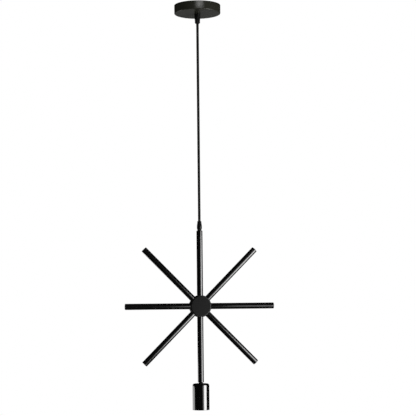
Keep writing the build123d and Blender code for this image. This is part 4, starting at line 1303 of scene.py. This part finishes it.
@dataclass
class Studio:
    """The camera, the soft lights, the white surroundings and the pale floor.

    Its lengths are in metres and its angles in degrees.
    """

    camera_at: tuple[float, float, float] = (-0.6541, -2.9504, -0.7017)
    yaw: float = 12.887
    pitch: float = 4.262
    roll: float = -0.581
    lens: float = 113.1
    floor_z: float = -2.0
    floor_side: float = 6.0
    floor_white_margin: float = 0.1
    floor_tone: float = 0.8
    floor_roughness: float = 0.9
    floor_glow: float = 0.7
    floor_glow_reach: float = 1.2
    backdrop: float = 0.14
    fill: float = 0.35
    gloom: float = 0.005
    boxes: tuple[SoftBox, ...] = (
        SoftBox(
            "key_box", azimuth=49.5, distance=1.6, width=1.1, low=-1.7, high=-0.28, radiance=5.0,
        ),
        SoftBox(
            "canopy_box", azimuth=-1.0, distance=1.2, width=0.9, low=0.2, high=0.4, radiance=0.33,
            aim_z=0.0, spread=50.0,
        ),
        SoftBox(
            "side_box", azimuth=21.5, distance=1.65, width=0.42, low=-1.65, high=-0.48,
            radiance=0.9,
        ),
        SoftBox(
            "rim_box", azimuth=-136.5, distance=1.2, width=1.25, low=-1.4, high=-0.9,
            radiance=1.3,
        ),
    )

    def camera(self) -> None:
        """Stands the camera at the photograph's angle."""
        lens = bpy.data.cameras.new("photo_camera")
        lens.lens = self.lens
        view = bpy.data.objects.new("photo_camera", lens)
        bpy.context.scene.collection.objects.link(view)
        yaw, pitch, roll = (math.radians(angle) for angle in (self.yaw, self.pitch, self.roll))
        level = math.cos(pitch)
        ahead = Vector((math.sin(yaw) * level, math.cos(yaw) * level, math.sin(pitch)))
        right = Vector((math.cos(yaw), -math.sin(yaw), 0))
        up = right.cross(ahead)
        across = right * math.cos(roll) + up * math.sin(roll)
        over = up * math.cos(roll) - right * math.sin(roll)
        turn = Matrix((across, over, -ahead)).transposed().to_4x4()
        view.matrix_world = Matrix.Translation(self.camera_at) @ turn
        bpy.context.scene.camera = view

    def seen(self, wiring: Wiring) -> Socket:
        """Whether a ray comes straight from the camera or through glass."""
        path = wiring.add("LightPath").outputs
        return wiring.math("MAXIMUM", path["Is Camera Ray"], path["Is Transmission Ray"])

    def world(self) -> None:
        """White where the camera looks, dim elsewhere, with a pale band behind in reflections."""
        world = bpy.data.worlds.new("white_surroundings")
        world.use_nodes = True
        world.node_tree.nodes.clear()
        wiring = Wiring(world.node_tree)
        # The pale band lies straight behind the object and a little below level.
        way = wiring.axes(wiring.add("TexCoord").outputs["Generated"])
        risen = wiring.ramp(way["Z"], low=-0.5, high=-0.3)
        band = wiring.math("SUBTRACT", risen, wiring.ramp(way["Z"], low=-0.16, high=-0.1))
        glow = wiring.math("MULTIPLY", band, self.backdrop)
        behind = wiring.math("MULTIPLY", wiring.ramp(way["Y"], low=0.8, high=0.95), glow)
        mirrored = wiring.math("MAXIMUM", behind, self.gloom)
        glossy = wiring.add("LightPath").outputs["Is Glossy Ray"]
        dim = wiring.between(glossy, self.fill, mirrored)
        level = wiring.between(self.seen(wiring), dim, 1.0)
        sky = wiring.add("Background", {"Color": WHITE, "Strength": level})
        wiring.add("OutputWorld", {"Surface": sky.outputs[0]})
        bpy.context.scene.world = world

    def paper(self) -> bpy.types.Material:
        """The floor's pale paper.

        It goes over to pure white away from the object, it is dark in reflections so that the
        lacquer stays black, and it can't be seen from below.

        Returns:
            The material.
        """
        paper = bpy.data.materials.new("pale_paper")
        paper.use_nodes = True
        paper.node_tree.nodes.clear()
        wiring = Wiring(paper.node_tree)
        tone = (self.floor_tone, self.floor_tone, self.floor_tone, 1.0)
        matt = wiring.add("BsdfPrincipled", {"Base Color": tone, "Roughness": self.floor_roughness})
        glow = wiring.add("Emission", {"Color": WHITE, "Strength": 1.0})
        where = wiring.where()
        flat = wiring.times(where, (1.0, 1.0, 0.0))
        away = wiring.add("VectorMath", {0: flat}, operation="LENGTH").outputs["Value"]
        rim = self.floor_side / 2 - self.floor_white_margin
        white = wiring.ramp(away, self.floor_glow_reach, rim)
        pale = wiring.math("MULTIPLY_ADD", white, 1 - self.floor_glow, self.floor_glow)
        share = wiring.math("MULTIPLY", self.seen(wiring), pale)
        lit = wiring.add("MixShader", {0: share, 1: matt.outputs[0], 2: glow.outputs[0]})
        # Reflections find it dark near the object, and pale again far behind it.
        far = wiring.ramp(wiring.axes(where)["Y"], low=0.8, high=2.4)
        near = wiring.math("SUBTRACT", 1.0, far)
        glossy = wiring.add("LightPath").outputs["Is Glossy Ray"]
        mirrored = wiring.math("MULTIPLY", glossy, near)
        dark = wiring.add("Emission", {"Color": WHITE, "Strength": self.gloom})
        upper = wiring.add("MixShader", {0: mirrored, 1: lit.outputs[0], 2: dark.outputs[0]})
        under = wiring.add("NewGeometry").outputs["Backfacing"]
        clear = wiring.add("BsdfTransparent")
        sheet = wiring.add("MixShader", {0: under, 1: upper.outputs[0], 2: clear.outputs[0]})
        wiring.add("OutputMaterial", {"Surface": sheet.outputs[0]})
        return paper

    def floor(self) -> None:
        """Lays the floor far below, where it keeps a soft shadow."""
        half = self.floor_side / 2
        mesh = bpy.data.meshes.new("pale_floor")
        corners = [(-half, -half), (half, -half), (half, half), (-half, half)]
        mesh.from_pydata([(x, y, self.floor_z) for x, y in corners], [], [(0, 1, 2, 3)])
        ground = bpy.data.objects.new("pale_floor", mesh)
        bpy.context.scene.collection.objects.link(ground)
        mesh.materials.append(self.paper())

    def build(self) -> None:
        """Sets up the whole studio."""
        bpy.context.scene.view_settings.view_transform = "Standard"
        self.camera()
        self.world()
        self.floor()
        for box in self.boxes:
            box.build()


def main() -> None:
    """Builds the studio and the light, sub-assembly by sub-assembly."""
    logging.basicConfig(level=logging.INFO, format="%(message)s")
    Studio().build()
    for assembly in (Cord(), Canopy(), Star(), LampHolder()):
        assembly.build()


if __name__ == "__main__":
    main()
